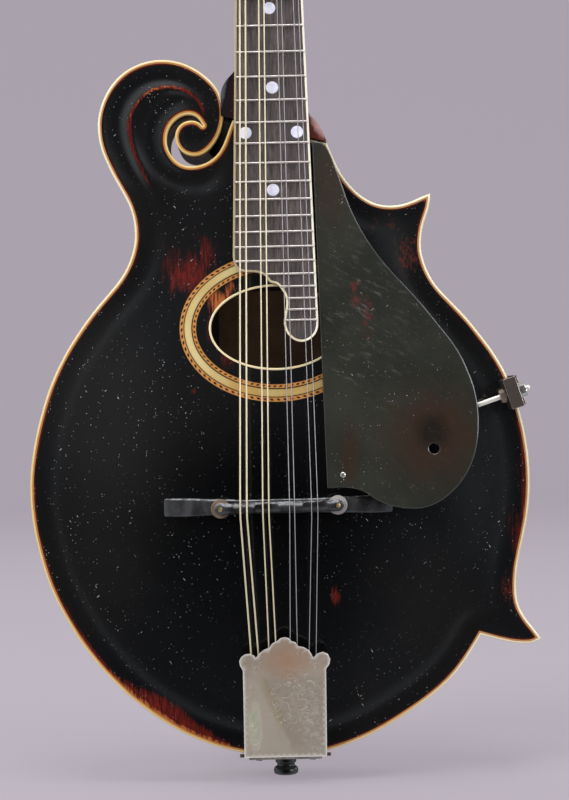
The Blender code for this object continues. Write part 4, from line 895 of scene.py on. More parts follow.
def guard_paint():
    """Green-brown mottled celluloid with browned, reddened and scuffed areas."""
    mat = Paint("mottled_celluloid")

    def near(*ellipse):
        return mat.around(*ellipse).ragged(mat.noise(45, detail=4.0), 0.9)

    green = mat.mix(mat.noise(18, detail=4.0, rough=0.6).fade(0.3, 0.7),
                    (0.0150, 0.0165, 0.0118), (0.0270, 0.0285, 0.0205))
    brown = mat.mix(mat.noise(70, detail=4.0), (0.038, 0.019, 0.010), (0.024, 0.0145, 0.0090))
    colour = mat.tone_patch(green, brown, 0.92, near(0.0745, 0.172, 0.032, 0.030), 0.25, 1.15)
    # nearly black middle of the brown area
    colour = mat.tone_patch(colour, (0.006, 0.005, 0.004), 0.7,
                       near(0.0745, 0.172, 0.013, 0.012), end=1.0)
    red = near(0.0393, 0.2412, 0.0034, 0.0085).fade(0.2, 1.2, 0.55, 0.0).maximum(
        near(0.0447, 0.2285, 0.0034, 0.0110).fade(0.2, 1.2, 0.50, 0.0))
    red = red * mat.noise(300, detail=4.0, rough=0.7).fade(0.42, 0.60)
    colour = mat.mix(red, colour, (0.13, 0.014, 0.014))
    # brown towards the upper end, rust-brown by the lower inner edge
    colour = mat.tone_patch(colour, (0.040, 0.020, 0.014), 0.42, near(0.0290, 0.297, 0.012, 0.030))
    colour = mat.tone_patch(colour, (0.035, 0.014, 0.007), 0.5,
                       near(0.034, 0.162, 0.007, 0.02), end=1.1)
    scuff = mat.grain((120, 700, 420), detail=5.0, rough=0.7,
                      turn=(0, -0.5, 0)).fade(0.52, 0.76, 0.0, 0.48)
    zone = near(0.045, 0.235, 0.035, 0.055).fade(0.1, 1.2, 1.0, 0.10)
    colour = mat.mix(scuff * zone, colour, (0.135, 0.14, 0.125))
    dust = mat.dust(1.0)
    colour = mat.mix(dust, colour, (0.45, 0.43, 0.43))
    rough = 0.20 + mat.noise(30, detail=5.0, rough=0.7) * 0.22
    normal = mat.bump(mat.noise(26), strength=0.10, distance=0.001)
    normal = mat.bump(scuff, strength=0.2, distance=0.00005, Normal=normal)
    return mat.finish(Base_Color=colour, Roughness=(rough + dust * 0.4).clamped(),
                      Normal=normal, Specular_IOR_Level=0.5, Coat_Weight=0.6,
                      Coat_Roughness=0.07)


def metal(name, colour=(0.55, 0.49, 0.43), rough=0.32, tarnish=(0.20, 0.14, 0.10), amount=0.5,
          metallic=0.9, brushed=False):
    """Metal with clouds of tarnish up to an amount, and dark pits."""
    mat = Paint(name)
    cloud = mat.noise(85, detail=5.0, rough=0.65)
    clouded = cloud.ragged(mat.noise(700, rough=0.6), 0.3).fade(0.42, 0.78) * amount
    pits = mat.specks(700, size=0.09, share=0.12)
    shown = mat.mix(clouded, colour, tarnish)
    shown = mat.mix(pits * 0.7, shown, scaled(tarnish, 0.3))
    height = mat.grain((1800, 1800, 90)) if brushed else mat.noise(300, detail=4.0)
    return mat.finish(Base_Color=shown, Metallic=metallic,
                      Roughness=(rough + clouded * 0.35).clamped(),
                      Normal=mat.bump(height - pits, strength=0.12, distance=0.0001))


def cover_paint():
    """Aged nickel with engraved curls, a worn wedge and a green patch."""
    mat = Paint("aged_nickel_cover")
    x, _, z = mat.place

    def near(*ellipse, ragged=0.7, scale=70):
        noise = mat.noise(scale, detail=5.0, rough=0.7)
        return mat.around(*ellipse).ragged(noise, ragged)

    colour = mat.mix(mat.noise(60, detail=4.0, rough=0.6).fade(0.35, 0.7),
                     (0.60, 0.505, 0.40), (0.48, 0.40, 0.31))
    # paler on the bass side of a slanting line, duller on the other, ochre along it
    slant = (0.053 - z) * 0.392
    side = (x - (slant - 0.0105)).ragged(mat.noise(90, detail=5.0, rough=0.7), 0.006)
    low = z.fade(0.056, 0.050)
    colour = mat.mix(side.fade(0.0012, -0.0012, 0.0, 0.55) * low, colour, (0.66, 0.585, 0.475))
    colour = mat.mix(side.fade(-0.0006, 0.0016, 0.0, 0.55) * low, colour, (0.47, 0.40, 0.315))
    ochre = abs(side).fade(0.0004, 0.0045, 0.42, 0.0) * (low * z.fade(0.022, 0.034))
    colour = mat.mix(ochre, colour, (0.42, 0.33, 0.16))
    # coppery above, light brown along the bottom, green by the bass edge
    colour = mat.tone_patch(colour, (0.60, 0.34, 0.21), 0.70,
                       near(0.002, 0.062, 0.015, 0.011), 0.1, 1.25)
    colour = mat.tone_patch(colour, (0.58, 0.50, 0.41), 0.5, near(0.002, 0.016, 0.020, 0.004))
    green = (near(-0.0148, 0.0295, 0.0046, 0.0150, ragged=0.9, scale=200).fade(0.35, 1, 1, 0)
             * mat.noise(300, detail=4.0).fade(0.3, 0.6, 0.35, 1.0))
    colour = mat.mix(green * 0.8, colour, (0.235, 0.285, 0.19))
    # engraved leaf curls: contour lines of a soft noise, in the middle and at the rim
    curl = (mat.noise(110, detail=1.0, rough=0.5, distortion=1.6) * 6.0).fraction()
    field = near(0.006, 0.042, 0.014, 0.018, ragged=0.4, scale=60).fade(0.65, 1.15, 1.0, 0.0)
    rim = near(0.0, 0.040, 0.0175, 0.030, ragged=0.1, scale=60).fade(0.80, 1.0, 0.0, 1.0)

    def lines(level, width):
        stroke = abs(curl - level).fade(0.02, width, 1.0, 0.0)
        return stroke * field.maximum(rim * 0.5)

    engraved = lines(0.5, 0.09)
    # a faint dark line beside each engraved line: painted shade
    colour = mat.mix(lines(0.66, 0.10) * 0.20, colour, (0.24, 0.18, 0.12))
    colour = mat.mix(engraved * 0.70, colour, (0.86, 0.81, 0.72))
    mottle = (mat.noise(330, detail=4.0, rough=0.7).fade(0.46, 0.62)
              * near(0.015, 0.032, 0.009, 0.022, ragged=0.9, scale=90).fade(0.3, 1.2, 0.65, 0.0))
    colour = mat.mix(mottle, colour, (0.68, 0.64, 0.57))
    # paler at the rim of the face: rubbed metal with a painted highlight
    rubbed_edge_highlight = mat.attribute("edge") * mat.noise(30, detail=2.0).fade(0.30, 0.60, 0.75, 1.0)
    colour = mat.mix(rubbed_edge_highlight * 0.9, colour, (0.95, 0.91, 0.84))
    pits = mat.specks(520, size=0.10, share=0.2).maximum(
        mat.noise(900, detail=2.0).fade(0.66, 0.78, 0, 0.5))
    colour = mat.mix(pits * 0.45, colour, (0.20, 0.13, 0.08))
    rough = (0.28 + (mat.noise(120, detail=4.0) * 0.2 + green * 0.3)).clamped()
    height = engraved * -0.6 + mat.noise(420, detail=4.0) * 0.25
    return mat.finish(Base_Color=colour, Metallic=(0.62 - green * 0.5).clamped(),
                      Roughness=rough, Normal=mat.bump(height, strength=0.35, distance=0.00012))


def string_paint(name, colour, dark, wound):
    """Metal string, with painted shade where it turns away; wound strings show their coils."""
    mat = Paint(name)
    if wound:
        node = mat.node("TexWave", Scale=1500, Distortion=0.4, Detail=1.0,
                        Vector=mat.stretch((1, 1, 1)))
        node.bands_direction = "Z"
        coil = Value(mat, node.outputs["Fac"])
        shown = mat.mix(coil.fade(0.0, 0.5, 0.55, 1.0), dark, colour)
    else:
        coil = mat.grain((200, 200, 2500))
        shown = mat.mix(coil.fade(0.5, 0.8, 0, 0.4), colour, dark)
    worn = mat.noise(40, detail=4.0, rough=0.7).fade(0.45, 0.75, 0, 0.4)
    shown = mat.mix(worn, shown, scaled(colour, 0.7))
    # painted shade where the string turns away from view
    edge_shade = Value(mat, mat.node("LayerWeight", Blend=0.5).outputs["Facing"])
    shown = mat.mix(edge_shade.fade(0.30, 0.85, 0.0, 0.85), shown, scaled(dark, 0.45))
    normal = mat.bump(coil, strength=0.12 if wound else 0.04, distance=0.00010)
    return mat.finish(Base_Color=shown, Metallic=0.35, Roughness=0.30 + worn * 0.2,
                      Normal=normal)


def pearl():
    mat = Paint("pearl")
    distance, _ = mat.cells(420, feature="SMOOTH_F1")
    colour = mat.mix(distance.fade(0.1, 0.7), (0.76, 0.76, 0.84), (0.60, 0.62, 0.74))
    rosy = mat.noise(600, rough=0.6, at=mat.stretch((1, 1, 0.3))) if False else mat.noise(
        600, at=mat.stretch((1, 1, 0.3)))
    colour = mat.mix(rosy.fade(0.5, 0.75, 0, 0.6), colour, (0.86, 0.80, 0.84))
    return mat.finish(Base_Color=colour, Roughness=0.16 + distance * 0.2, Coat_Weight=0.4,
                      Normal=mat.bump(distance, strength=0.1, distance=0.0001))


def paper():
    mat = Paint("aged_paper")
    fibre = mat.noise(500, detail=5.0, rough=0.7)
    colour = mat.mix(mat.noise(60, detail=4.0).fade(0.3, 0.7),
                     (0.32, 0.20, 0.115), (0.215, 0.125, 0.064))
    colour = mat.mix(fibre * 0.3, colour, (0.10, 0.055, 0.025))
    return mat.finish(Base_Color=colour, Roughness=0.75 + fibre * 0.2,
                      Normal=mat.bump(fibre, strength=0.3, distance=0.0001))


# key: (slot it stands in, material)
MATERIALS = {
    "top": ("black_lacquer", lacquer_top()),
    "back": ("red_brown_lacquer", lacquer_brown(
        "red_brown_lacquer_back", dark=(0.012, 0.006, 0.005), warm=(0.105, 0.020, 0.010))),
    "neck": ("red_brown_lacquer", lacquer_brown(
        "red_brown_lacquer_neck", dark=(0.0075, 0.0068, 0.0076), warm=(0.095, 0.016, 0.009),
        neck=True)),
    "binding": ("ivory_celluloid", celluloid(
        "ivory_celluloid", pale=(0.78, 0.72, 0.50), old=(0.66, 0.50, 0.22), edge_stain=True)),
    "board_binding": ("ivory_celluloid", celluloid(
        "ivory_celluloid_board", pale=(0.76, 0.70, 0.50), old=(0.66, 0.52, 0.28), board=True)),
    "button": ("button_celluloid", celluloid(
        "button_celluloid", pale=(0.74, 0.66, 0.46), old=(0.60, 0.44, 0.20))),
    "bone": ("bone", celluloid(
        "polished_bone", pale=(0.74, 0.70, 0.58), old=(0.62, 0.52, 0.34))),
    "rosette": ("rope_marquetry", rosette_paint()),
    "board": ("ebony", ebony_board()),
    "bridge": ("ebony", black_wood("ebonised_bridge")),
    "pin": ("ebony", black_wood("ebonised_pin", dust_and_sheen=0.06, rough=0.20)),
    "veneer": ("ebony", black_wood("headstock_veneer", dust_and_sheen=0.12, rough=0.18)),
    "guard": ("tortoise_celluloid", guard_paint()),
    "nickel": ("nickel", metal("aged_nickel")),
    "bright": ("nickel", metal("bright_nickel", (0.66, 0.62, 0.58), rough=0.25,
                               tarnish=(0.32, 0.24, 0.18), amount=0.35)),
    "rusty": ("nickel", metal("tarnished_nickel", (0.34, 0.26, 0.21), rough=0.38,
                              tarnish=(0.10, 0.045, 0.022), amount=0.9, metallic=0.75)),
    "brass": ("brass", metal("dull_brass", (0.66, 0.50, 0.26), rough=0.35,
                             tarnish=(0.26, 0.16, 0.06), amount=0.6, metallic=0.85)),
    "fret": ("nickel", metal("fret_wire", (0.68, 0.62, 0.58), rough=0.30,
                             tarnish=(0.42, 0.30, 0.24), metallic=0.70, brushed=True)),
    "cover": ("nickel", cover_paint()),
    "wound": ("bronze_winding", string_paint(
        "wound_bronze", colour=(0.80, 0.72, 0.50), dark=(0.50, 0.38, 0.20), wound=True)),
    "steel": ("plain_steel", string_paint(
        "plain_steel", colour=(0.37, 0.355, 0.37), dark=(0.20, 0.19, 0.20), wound=False)),
    "pearl": ("bone", pearl()),
    "paper": ("paper", paper()),
    "spruce": ("spruce", wood("bare_spruce", (0.42, 0.26, 0.12), (0.30, 0.16, 0.06),
                              scale=(380, 380, 12), rough=0.65, pores=0.2)),
    "maple": ("maple_block", wood("bare_maple", (0.36, 0.20, 0.09), (0.24, 0.12, 0.05),
                                  scale=(300, 300, 20), rough=0.6, pores=0.3)),
    # bare wood darkened for the plates' inner faces: painted shade inside the body
    "inside": (None, wood("inside_shade", (0.080, 0.048, 0.026), (0.045, 0.024, 0.012),
                          scale=(300, 300, 20), rough=0.8, pores=0.3)),
    "clamp": ("nickel", metal("dark_nickel", (0.27, 0.225, 0.195), rough=0.26,
                              tarnish=(0.070, 0.045, 0.032), amount=0.8, metallic=0.85)),
    "rod": ("nickel", metal("pale_nickel", (0.74, 0.72, 0.64), rough=0.30,
                            tarnish=(0.42, 0.36, 0.28), amount=0.35, metallic=0.35)),
    # one nickel in two tones: the bass wheel darker as painted shade under the saddle, the treble
    # wheel paler as painted light
    "wheel_bass": ("nickel", metal("shaded_nickel", (0.32, 0.23, 0.17), rough=0.32,
                                   tarnish=(0.12, 0.08, 0.05), amount=0.7, metallic=0.45)),
    "wheel_treble": ("nickel", metal("lit_nickel", (0.62, 0.59, 0.55), rough=0.26,
                                     tarnish=(0.26, 0.20, 0.16), amount=0.6, metallic=0.45)),
}


# --------------------------------------------------------------------- making pieces
def mesh_data(name, shape, at, recalc=True):
    verts, faces = placed(shape, at)
    mesh = bpy.data.meshes.new(name)
    mesh.from_pydata(verts.tolist(), [], [tuple(int(i) for i in face) for face in faces])
    mesh.update()
    if recalc:
        work = bmesh.new()
        work.from_mesh(mesh)
        bmesh.ops.recalc_face_normals(work, faces=work.faces)
        work.to_mesh(mesh)
        work.free()
    return mesh


def link_object(name, data):
    obj = bpy.data.objects.new(name, data)
    bpy.context.scene.collection.objects.link(obj)
    return obj


def shade(mesh, sharp):
    """Smooth shading, broken at edges sharper than an angle in degrees."""
    mesh.shade_smooth()
    mesh.set_sharp_from_angle(angle=math.radians(sharp))


def bevel_edges(obj, width, segments=2):
    bevel = obj.modifiers.new("edge", "BEVEL")
    bevel.width, bevel.segments = width * MM, segments
    bevel.limit_method, bevel.angle_limit = "ANGLE", math.radians(50)


def make(name, shape, material, body="root", at=FRAME, stands_for=None, floats=None, uv=None,
         sharp=38, bevel=0.0, segments=2, recalc=True):
    """A finished piece: its mesh in world metres, material, body and CAD node."""
    mesh = mesh_data(name, shape, at, recalc)
    for key, values in (floats or {}).items():
        attribute = mesh.attributes.new(key, "FLOAT", "POINT")
        values = (values * np.ones(len(mesh.vertices))).astype(np.float32)
        attribute.data.foreach_set("value", values)
    if uv is not None:
        layer = mesh.uv_layers.new(name="inlay")
        layer.data.foreach_set("uv", np.asarray(uv, np.float32).ravel())
    slot, paint = MATERIALS[material]
    mesh.materials.append(paint)
    shade(mesh, sharp)
    obj = link_object(name, mesh)
    if bevel:
        bevel_edges(obj, bevel, segments)
    if body:
        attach(obj, body)
    if stands_for:
        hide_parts(stands_for)
    return obj


def cut_away(obj, shape, at):
    """Cuts the shape out of the object's mesh for good."""
    tool = link_object("cut", mesh_data("cut", shape, at))
    cut = obj.modifiers.new("cut", "BOOLEAN")
    cut.operation, cut.object, cut.solver = "DIFFERENCE", tool, "EXACT"
    bpy.context.view_layer.update()
    evaluated = obj.evaluated_get(bpy.context.evaluated_depsgraph_get())
    mesh = bpy.data.meshes.new_from_object(evaluated)
    obj.modifiers.remove(cut)
    old = obj.data
    obj.data = mesh
    bpy.data.meshes.remove(old)
    bpy.data.objects.remove(tool)
    shade(mesh, 42)


def bare_inside(obj, count):
    """The inner faces of a plate of count triangles a side are left unlacquered."""
    obj.data.materials.append(MATERIALS["inside"][1])
    for face in obj.data.polygons[count:2 * count]:
        face.material_index = 1


def screw_head(radius, height):
    """A slightly domed screw head standing on z = 0."""
    return turned([(0, height), (radius * 0.5, height * 0.92), (radius * 0.85, height * 0.62),
                   (radius, height * 0.15), (radius, -0.4), (0, -0.4)], 28)


def slot_bar(radius, height, turn):
    """The bar that marks a screw head's slot."""
    bar = box_shape((-radius * 0.88, -0.26, height * 0.55),
                    (radius * 0.88, 0.26, height * 0.97 + 0.05))
    return placed(bar, rotation("Z", turn))


# ------------------------------------------------------------- body outline and surfaces
def fine_outline():
    """The rim's points, anticlockwise, and the inward mitre vector at each."""
    tips = ((np.array(TREBLE[0]), 3.9), (np.array(LOWER_POINT[0]), 2.9))    # and their cut-back
    points = [point
              for stations in (SHOULDER, TREBLE, LOWER_POINT, BOUT, SLOT)
              for point in faired(stations, 0.9, 2.0)[:-1]
              if not any(0.01 < np.linalg.norm(point - tip) < cut for tip, cut in tips)]
    points.append(np.array(SLOT[-1], float))
    rim = np.array(points)[::-1]
    # the blind end of the slot gets a tiny round, so that offsets turn round it
    k = int(np.argmin(np.linalg.norm(rim - np.array(SLOT[0]), axis=1)))
    before, after = rim[k] - rim[k - 1], rim[k + 1] - rim[k]
    start = math.atan2(before[0], -before[1])
    end = math.atan2(after[0], -after[1])
    while end > start:
        end -= 2 * math.pi
    turns = [np.array([math.cos(a), math.sin(a)]) for a in np.linspace(start, end, 9)]
    arc = [rim[k] + 0.12 * turn for turn in turns]
    rim = np.concatenate([rim[:k], arc, rim[k + 1:]])
    inward = mitres(rim)
    inward[k:k + 9] = turns
    return rim, inward


RIM, RIM_IN = fine_outline()
RIDGE_RUN = faired(RIDGE, 1.0, 1.5)


def rim_at(distance):
    return RIM + distance * RIM_IN


def swell(x, y, long_arch):
    width = np.maximum(half_width(np.sqrt(np.maximum(y - BUTT_Y, 0))), 1.0)
    t = np.clip(np.abs(x) / width, 0, 1)
    return np.maximum(long_arch(y), 0) * (1 - t * t) ** 2 * (1 + 0.12 * t * t)


def top_height(x, y, from_rim):
    """Outer face of the soundboard: the arch, a hollow inside the rim, the scroll's ridge."""
    scroll = smooth(285, 300, y) * smooth(-38, -48, x)
    hollow = (0.75 + 0.75 * scroll) * np.exp(-(((from_rim - 8.5) / 4.6) ** 2))
    hollow = hollow * smooth(1.8, 4.0, from_rim)
    near_neck = smooth(34, 22, np.abs(x)) * smooth(255, 290, y)
    hollow = hollow * (1 - near_neck)
    off, share = nearest(np.column_stack([x, y]), RIDGE_RUN)
    ridge = 0.8 * np.exp(-((off / 2.4) ** 2)) * smooth(0.0, 0.3, share) * smooth(1.02, 0.9, share)
    return EDGE + swell(x, y, TOP_ARCH) - hollow + ridge


def surface(x, y):
    """Height of the soundboard at any places."""
    x, y = np.atleast_1d(np.asarray(x, float)), np.atleast_1d(np.asarray(y, float))
    return top_height(x, y, distance_to(np.column_stack([x, y]), RIM))


# ------------------------------------------------------------------------ soundboard
# wear spots: x, y, reach in x, reach in y, strength
RED_SPOTS = [
    (-43.3, 248.5, 12, 13, 1.0), (-33.5, 258, 7, 13, 0.75), (-51.5, 249, 6, 10, 0.62),
    (-29.5, 268, 4, 12, 0.42), (-27.5, 234, 9, 12, 0.80), (-32, 222, 4, 13, 0.62),
    (-24.5, 205.5, 5, 6, 0.62), (63, 256, 6, 16, 0.26), (66, 246, 5, 12, 0.26),
    (112, 90, 4.5, 12, 0.50), (26.3, 88, 2.6, 4.2, 1.3), (24.8, 94, 1.6, 2.6, 0.8),
    (-41, 191, 1.5, 2, 1.0), (-77, 345, 4, 4, 0.25), (38, 262, 3, 20, 0.42),
    (114.5, 122, 3.0, 22, 0.45), (118.5, 150, 2.4, 20, 0.45), (-40, 268, 3, 14, 0.35),
    (-56, 262, 4, 14, 0.33)]
FLECK_SPOTS = [
    (50, 271, 5, 7, 0.55), (59, 271, 5, 8, 0.62), (65.5, 256, 8, 14, 0.85),
    (60, 262, 8, 10, 0.5), (70, 238, 6, 10, 0.4), (112, 89, 6, 11, 0.75),
    (111, 140, 6, 36, 0.42), (104, 108, 5, 14, 0.3)]
TAN_SPOTS = [
    (-27.5, 234.5, 8, 10, 1.0), (-22, 241, 6, 5, 0.7), (-30, 226, 3.5, 7, 0.55),
    (-54, 341.5, 8, 2.2, 0.45)]


def blobs(x, y, spots):
    total = np.zeros(len(x))
    for spot_x, spot_y, reach_x, reach_y, strength in spots:
        off = ((x - spot_x) / reach_x) ** 2 + ((y - spot_y) / reach_y) ** 2
        total = np.maximum(total, strength * np.exp(-off))
    return total


def wear(points, from_rim):
    """The soundboard's wear attributes."""
    x, y = points.T
    red = blobs(x, y, RED_SPOTS)
    tan = blobs(x, y, TAN_SPOTS)
    lower_bass = smooth(-98, -80, x) * smooth(-18, -32, x) * smooth(72, 60, y)
    depth = 2.6 + 8.0 * np.exp(-(((x + 56) / 20) ** 2))
    red = np.maximum(red, 0.92 * lower_bass * smooth(depth + 3, depth - 3, from_rim))
    thin_line = smooth(-116, -104, x) * smooth(-60, -80, x) * smooth(125, 100, y)
    red = np.maximum(red, 0.8 * thin_line * smooth(4.2, 2.6, from_rim))
    tan = np.maximum(tan, 0.85 * lower_bass * smooth(5.0, 2.0, from_rim))
    treble = smooth(104, 110, x) * smooth(98, 112, y) * smooth(182, 168, y)
    red = np.maximum(red, 0.80 * treble * smooth(6.0, 2.2, from_rim))
    tan = np.maximum(tan, 0.6 * treble * smooth(3.4, 2.0, from_rim))
    off, share = nearest(points, RIDGE_RUN)
    ridge_top = smooth(0.0, 0.25, share) * smooth(1.05, 0.9, share)
    red = np.maximum(red, 1.45 * np.exp(-((off / 0.85) ** 2)) * ridge_top)
    tan = np.maximum(tan, 0.95 * np.exp(-((off / 0.8) ** 2))
                     * np.exp(-(((share - 0.66) / 0.26) ** 2)))
    line = smooth(2.75, 2.15, from_rim) * (0.6 + 0.4 * smooth(-20, -70, x))
    return {"wear_red": red, "wear_tan": tan, "rim_line": line,
            "wear_fleck": blobs(x, y, FLECK_SPOTS)}


PLATE_LOOP = rim_at(BIND_W)


def soundboard():
    # the plate has a channel for the rosette, between the first two ovals
    ovals = [oval(47.9, 36.9), oval(39.3, 27.9), oval(*HOLE_RADII, 140)]

    def in_scroll(points):
        return (points[:, 0] < -26) & (points[:, 1] > 276)

    coarse = grid(-130, 134, 2, 362, 2.5)
    finer = grid(-90, -26, 276, 358, 1.25)
    inner = np.concatenate([coarse[~in_scroll(coarse)], finer[in_scroll(finer)]])
    gap = np.min([distance_to(inner, loop) for loop in [PLATE_LOOP] + ovals], axis=0)
    by_rim = np.concatenate([rim_at(2.25), rim_at(2.75), rim_at(3.7)[::2]])
    by_rim = by_rim[distance_to(by_rim, PLATE_LOOP) > 0.35]
    area = plan([PLATE_LOOP] + ovals, np.concatenate([inner[gap > 0.8], by_rim]))
    from_rim = distance_to(area[0], RIM)
    top = top_height(*area[0].T, from_rim)
    floats = {key: np.tile(values, 2) for key, values in wear(area[0], from_rim).items()}
    board = make("soundboard", slab(area, top, top - TOP_THICK), "top",
                 stands_for="top_plate", recalc=False, floats=floats)
    bare_inside(board, len(area[1]))


def carved_back():
    extra = grid(-130, 134, 2, 362, 3.2)
    area = plan([PLATE_LOOP], extra[distance_to(extra, PLATE_LOOP) > 1.2])
    from_rim = distance_to(area[0], RIM)
    hollow = 0.8 * np.exp(-(((from_rim - 8.5) / 4.8) ** 2)) * smooth(1.8, 4.0, from_rim)
    outer = -(EDGE + swell(*area[0].T, BACK_ARCH) - hollow)
    dark_rim = 0.15 + 0.8 * smooth(46, 12, from_rim)
    back = make("carved_back", flipped(slab(area, outer, outer + BACK_THICK)), "back",
                stands_for="back_plate",
                floats={"shade": np.concatenate([dark_rim, np.full(len(dark_rim), 0.35)])})
    bare_inside(back, len(area[1]))


soundboard()
carved_back()


# ------------------------------------------------------------------ binding and ribs
def rim_strip(levels):
    """A closed section of (inset, height) levels carried round the rim."""
    rings = [np.column_stack([rim_at(d), np.full(len(RIM), z)]) for d, z in levels]
    size, n = len(levels), len(RIM)
    faces = []
    for i in range(n):
        a, b = i * size, ((i + 1) % n) * size
        faces += [(a + j, b + j, b + (j + 1) % size, a + (j + 1) % size) for j in range(size)]
    return np.stack(rings, axis=1).reshape(-1, 3), faces


BIND_LEVELS = [
    (0, EDGE - BIND_H + 0.05), (-0.02, EDGE - 0.5), (0.14, EDGE - 0.14), (0.5, EDGE + 0.02),
    (1.2, EDGE + 0.02), (BIND_W, EDGE - 0.02), (BIND_W, EDGE - BIND_H + 0.05)]


def rim_binding(side, sign, tone):
    shape = rim_strip([(d, z * sign) for d, z in BIND_LEVELS])
    across = np.tile([d / BIND_W for d, _ in BIND_LEVELS], len(RIM))
    make(f"binding_{side}", shape, "binding", stands_for=f"{side}_binding", sharp=50,
         floats={"across": across, "tone": np.repeat(tone, len(BIND_LEVELS))})


def ribs():
    height = EDGE - BIND_H
    levels = [(0.06, -height), (0.02, -height + 0.4), (0.0, -8), (0.0, 8), (0.02, height - 0.4),
              (0.06, height), (2.0, height), (2.0, -height)]
    dark = np.tile([0.95, 0.9, 0.62, 0.62, 0.9, 0.95, 0.3, 0.3], len(RIM))
    # the sides round the scroll go fully dark: a darker finish there, and painted shade on the walls
    # of its slot
    near_scroll = smooth(-8, -22, RIM[:, 0]) * smooth(272, 292, RIM[:, 1])
    dark = np.maximum(dark, np.repeat(near_scroll, len(levels)))
    make("rib_band", rim_strip(levels), "back", stands_for="ribs", floats={"shade": dark},
         sharp=50)


rim_x, rim_y = RIM.T
in_slot = (smooth(-64, -58, rim_x) * smooth(-14, -22, rim_x)
           * smooth(286, 292, rim_y) * smooth(332, 326, rim_y))
rim_tone = np.clip(0.62 * smooth(10, -60, rim_x) * smooth(240, 150, rim_y)
                   + 0.45 * smooth(60, 20, rim_y) + 1.0 * in_slot, 0, 1)
rim_binding("top", 1, rim_tone)
rim_binding("back", -1, np.clip(rim_tone + 0.2, 0, 1))
ribs()


# ---------------------------------------------------------- rosette and soundhole ring
def oval_band(name, material, outer, inner, levels, stands_for, uv=False, floats=None):
    """A band round the soundhole; levels are (share of the way in, height over the top)."""
    n, size = 300, len(levels)
    t = np.arange(n) * 2 * math.pi / n
    run = run_lengths(np.column_stack([np.append(outer[0] * np.cos(t), outer[0]),
                                       np.append(outer[1] * np.sin(t), 0)]))
    shares, heights = np.array(levels, float).T
    sections = []
    for angle in t:
        x = HOLE_CENTRE[0] + (outer[0] + (inner[0] - outer[0]) * shares) * math.cos(angle)
        y = HOLE_CENTRE[1] + (outer[1] + (inner[1] - outer[1]) * shares) * math.sin(angle)
        sections.append(np.column_stack([x, y, surface(x, y) + heights]))
    corners = [(run[i + di], shares[(j + dj) % size])
               for i in range(n) for j in range(size)
               for di, dj in ((0, 0), (0, 1), (1, 1), (1, 0))]
    make(name, loft(sections, wrap=True), material, stands_for=stands_for,
         uv=corners if uv else None, sharp=50, recalc=False, floats=floats)


oval_band("rosette", "rosette", (47.95, 36.95), (39.25, 27.85),
          [(share, 0.02) for share in np.linspace(0, 1, 15)] + [(1, -1.2), (0, -1.2)],
          "rosette_inlay", uv=True)
oval_band("soundhole_edge", "binding", HOLE_RADII, (32.15, 20.15),
          [(0, 0.05), (0.25, 0.22), (0.75, 0.22), (1.0, 0.0), (1.0, -3.2), (0, -3.2)],
          "soundhole_binding", floats={"across": 0.2, "tone": 0.15})

# ------------------------------------------------------------------------- fretboard
BOARD_LOOP = np.concatenate([[(14.1, NUT_Y)], faired(BOARD_END, 0.6, 0.8), [(-14.1, NUT_Y)]])[::-1]
FRETS = [NUT_Y - FRET_SCALE * math.cos(FRET_TILT) * (1 - 2 ** (-n / 12)) for n in range(1, 25)]


def board_bottom(x, y):
    return board_z(y) - BOARD_THICK


def fingerboard():
    inner = inset(BOARD_LOOP, 1.05)
    extra = grid(-22, 22, 205, 490, 5.0)
    extra = extra[distance_to(extra, inner) > 1.5]
    make("fingerboard", sheet([inner], lambda x, y: board_z(y), board_bottom, extra), "board",
         stands_for="fretboard")
    edge = sheet([BOARD_LOOP, inner], lambda x, y: board_z(y) + 0.03, board_bottom)
    make("fingerboard_binding", edge, "board_binding", stands_for="fretboard_binding",
         bevel=0.16)


def spans(loop, y):
    """Pairs of x between which a level line lies inside the loop."""
    hits = sorted(p[0] + (q[0] - p[0]) * (y - p[1]) / (q[1] - p[1])
                  for p, q in zip(loop, np.roll(loop, -1, axis=0)) if (p[1] > y) != (q[1] > y))
    return zip(hits[::2], hits[1::2])


def fret_wires():
    loop = inset(BOARD_LOOP, 0.55)
    section = [(0.58 * math.cos(t), 0.05 + 0.95 * math.sin(t)) for t in np.linspace(0, math.pi, 9)]
    section += [(-0.58, -0.3), (0.58, -0.3)]
    wires = []
    for y in FRETS:
        for x0, x1 in spans(loop, y):
            # the crown is lower towards both ends
            stations = ((x0, 0.35), (x0 + 0.25, 0.85), (x0 + 0.7, 1.0),
                        (x1 - 0.7, 1.0), (x1 - 0.25, 0.85), (x1, 0.35))
            wires.append(loft([[(x, y + dy, board_z(y) + (dz * rise if dz > 0 else dz))
                                for dy, dz in section] for x, rise in stations]))
    make("frets", joined(wires), "fret", sharp=60)


def position_dots():
    places = [(-0.1, 379.5), (0.5, 339.6), (-13.1, 317.2), (12.3, 317.2), (-0.1, 288.6),
              (0.0, (FRETS[4] + FRETS[3]) / 2), (0.0, (FRETS[2] + FRETS[1]) / 2)]
    disc = turned([(0, 0.07), (2.4, 0.06), (3.0, 0.03), (3.1, -0.05), (3.1, -0.4), (0, -0.4)], 40)
    tilt = rotation("X", -math.atan(BOARD_SLOPE))
    dots = [placed(disc, translation(x, y, board_z(y)) @ tilt) for x, y in places]
    make("position_dots", joined(dots), "pearl")


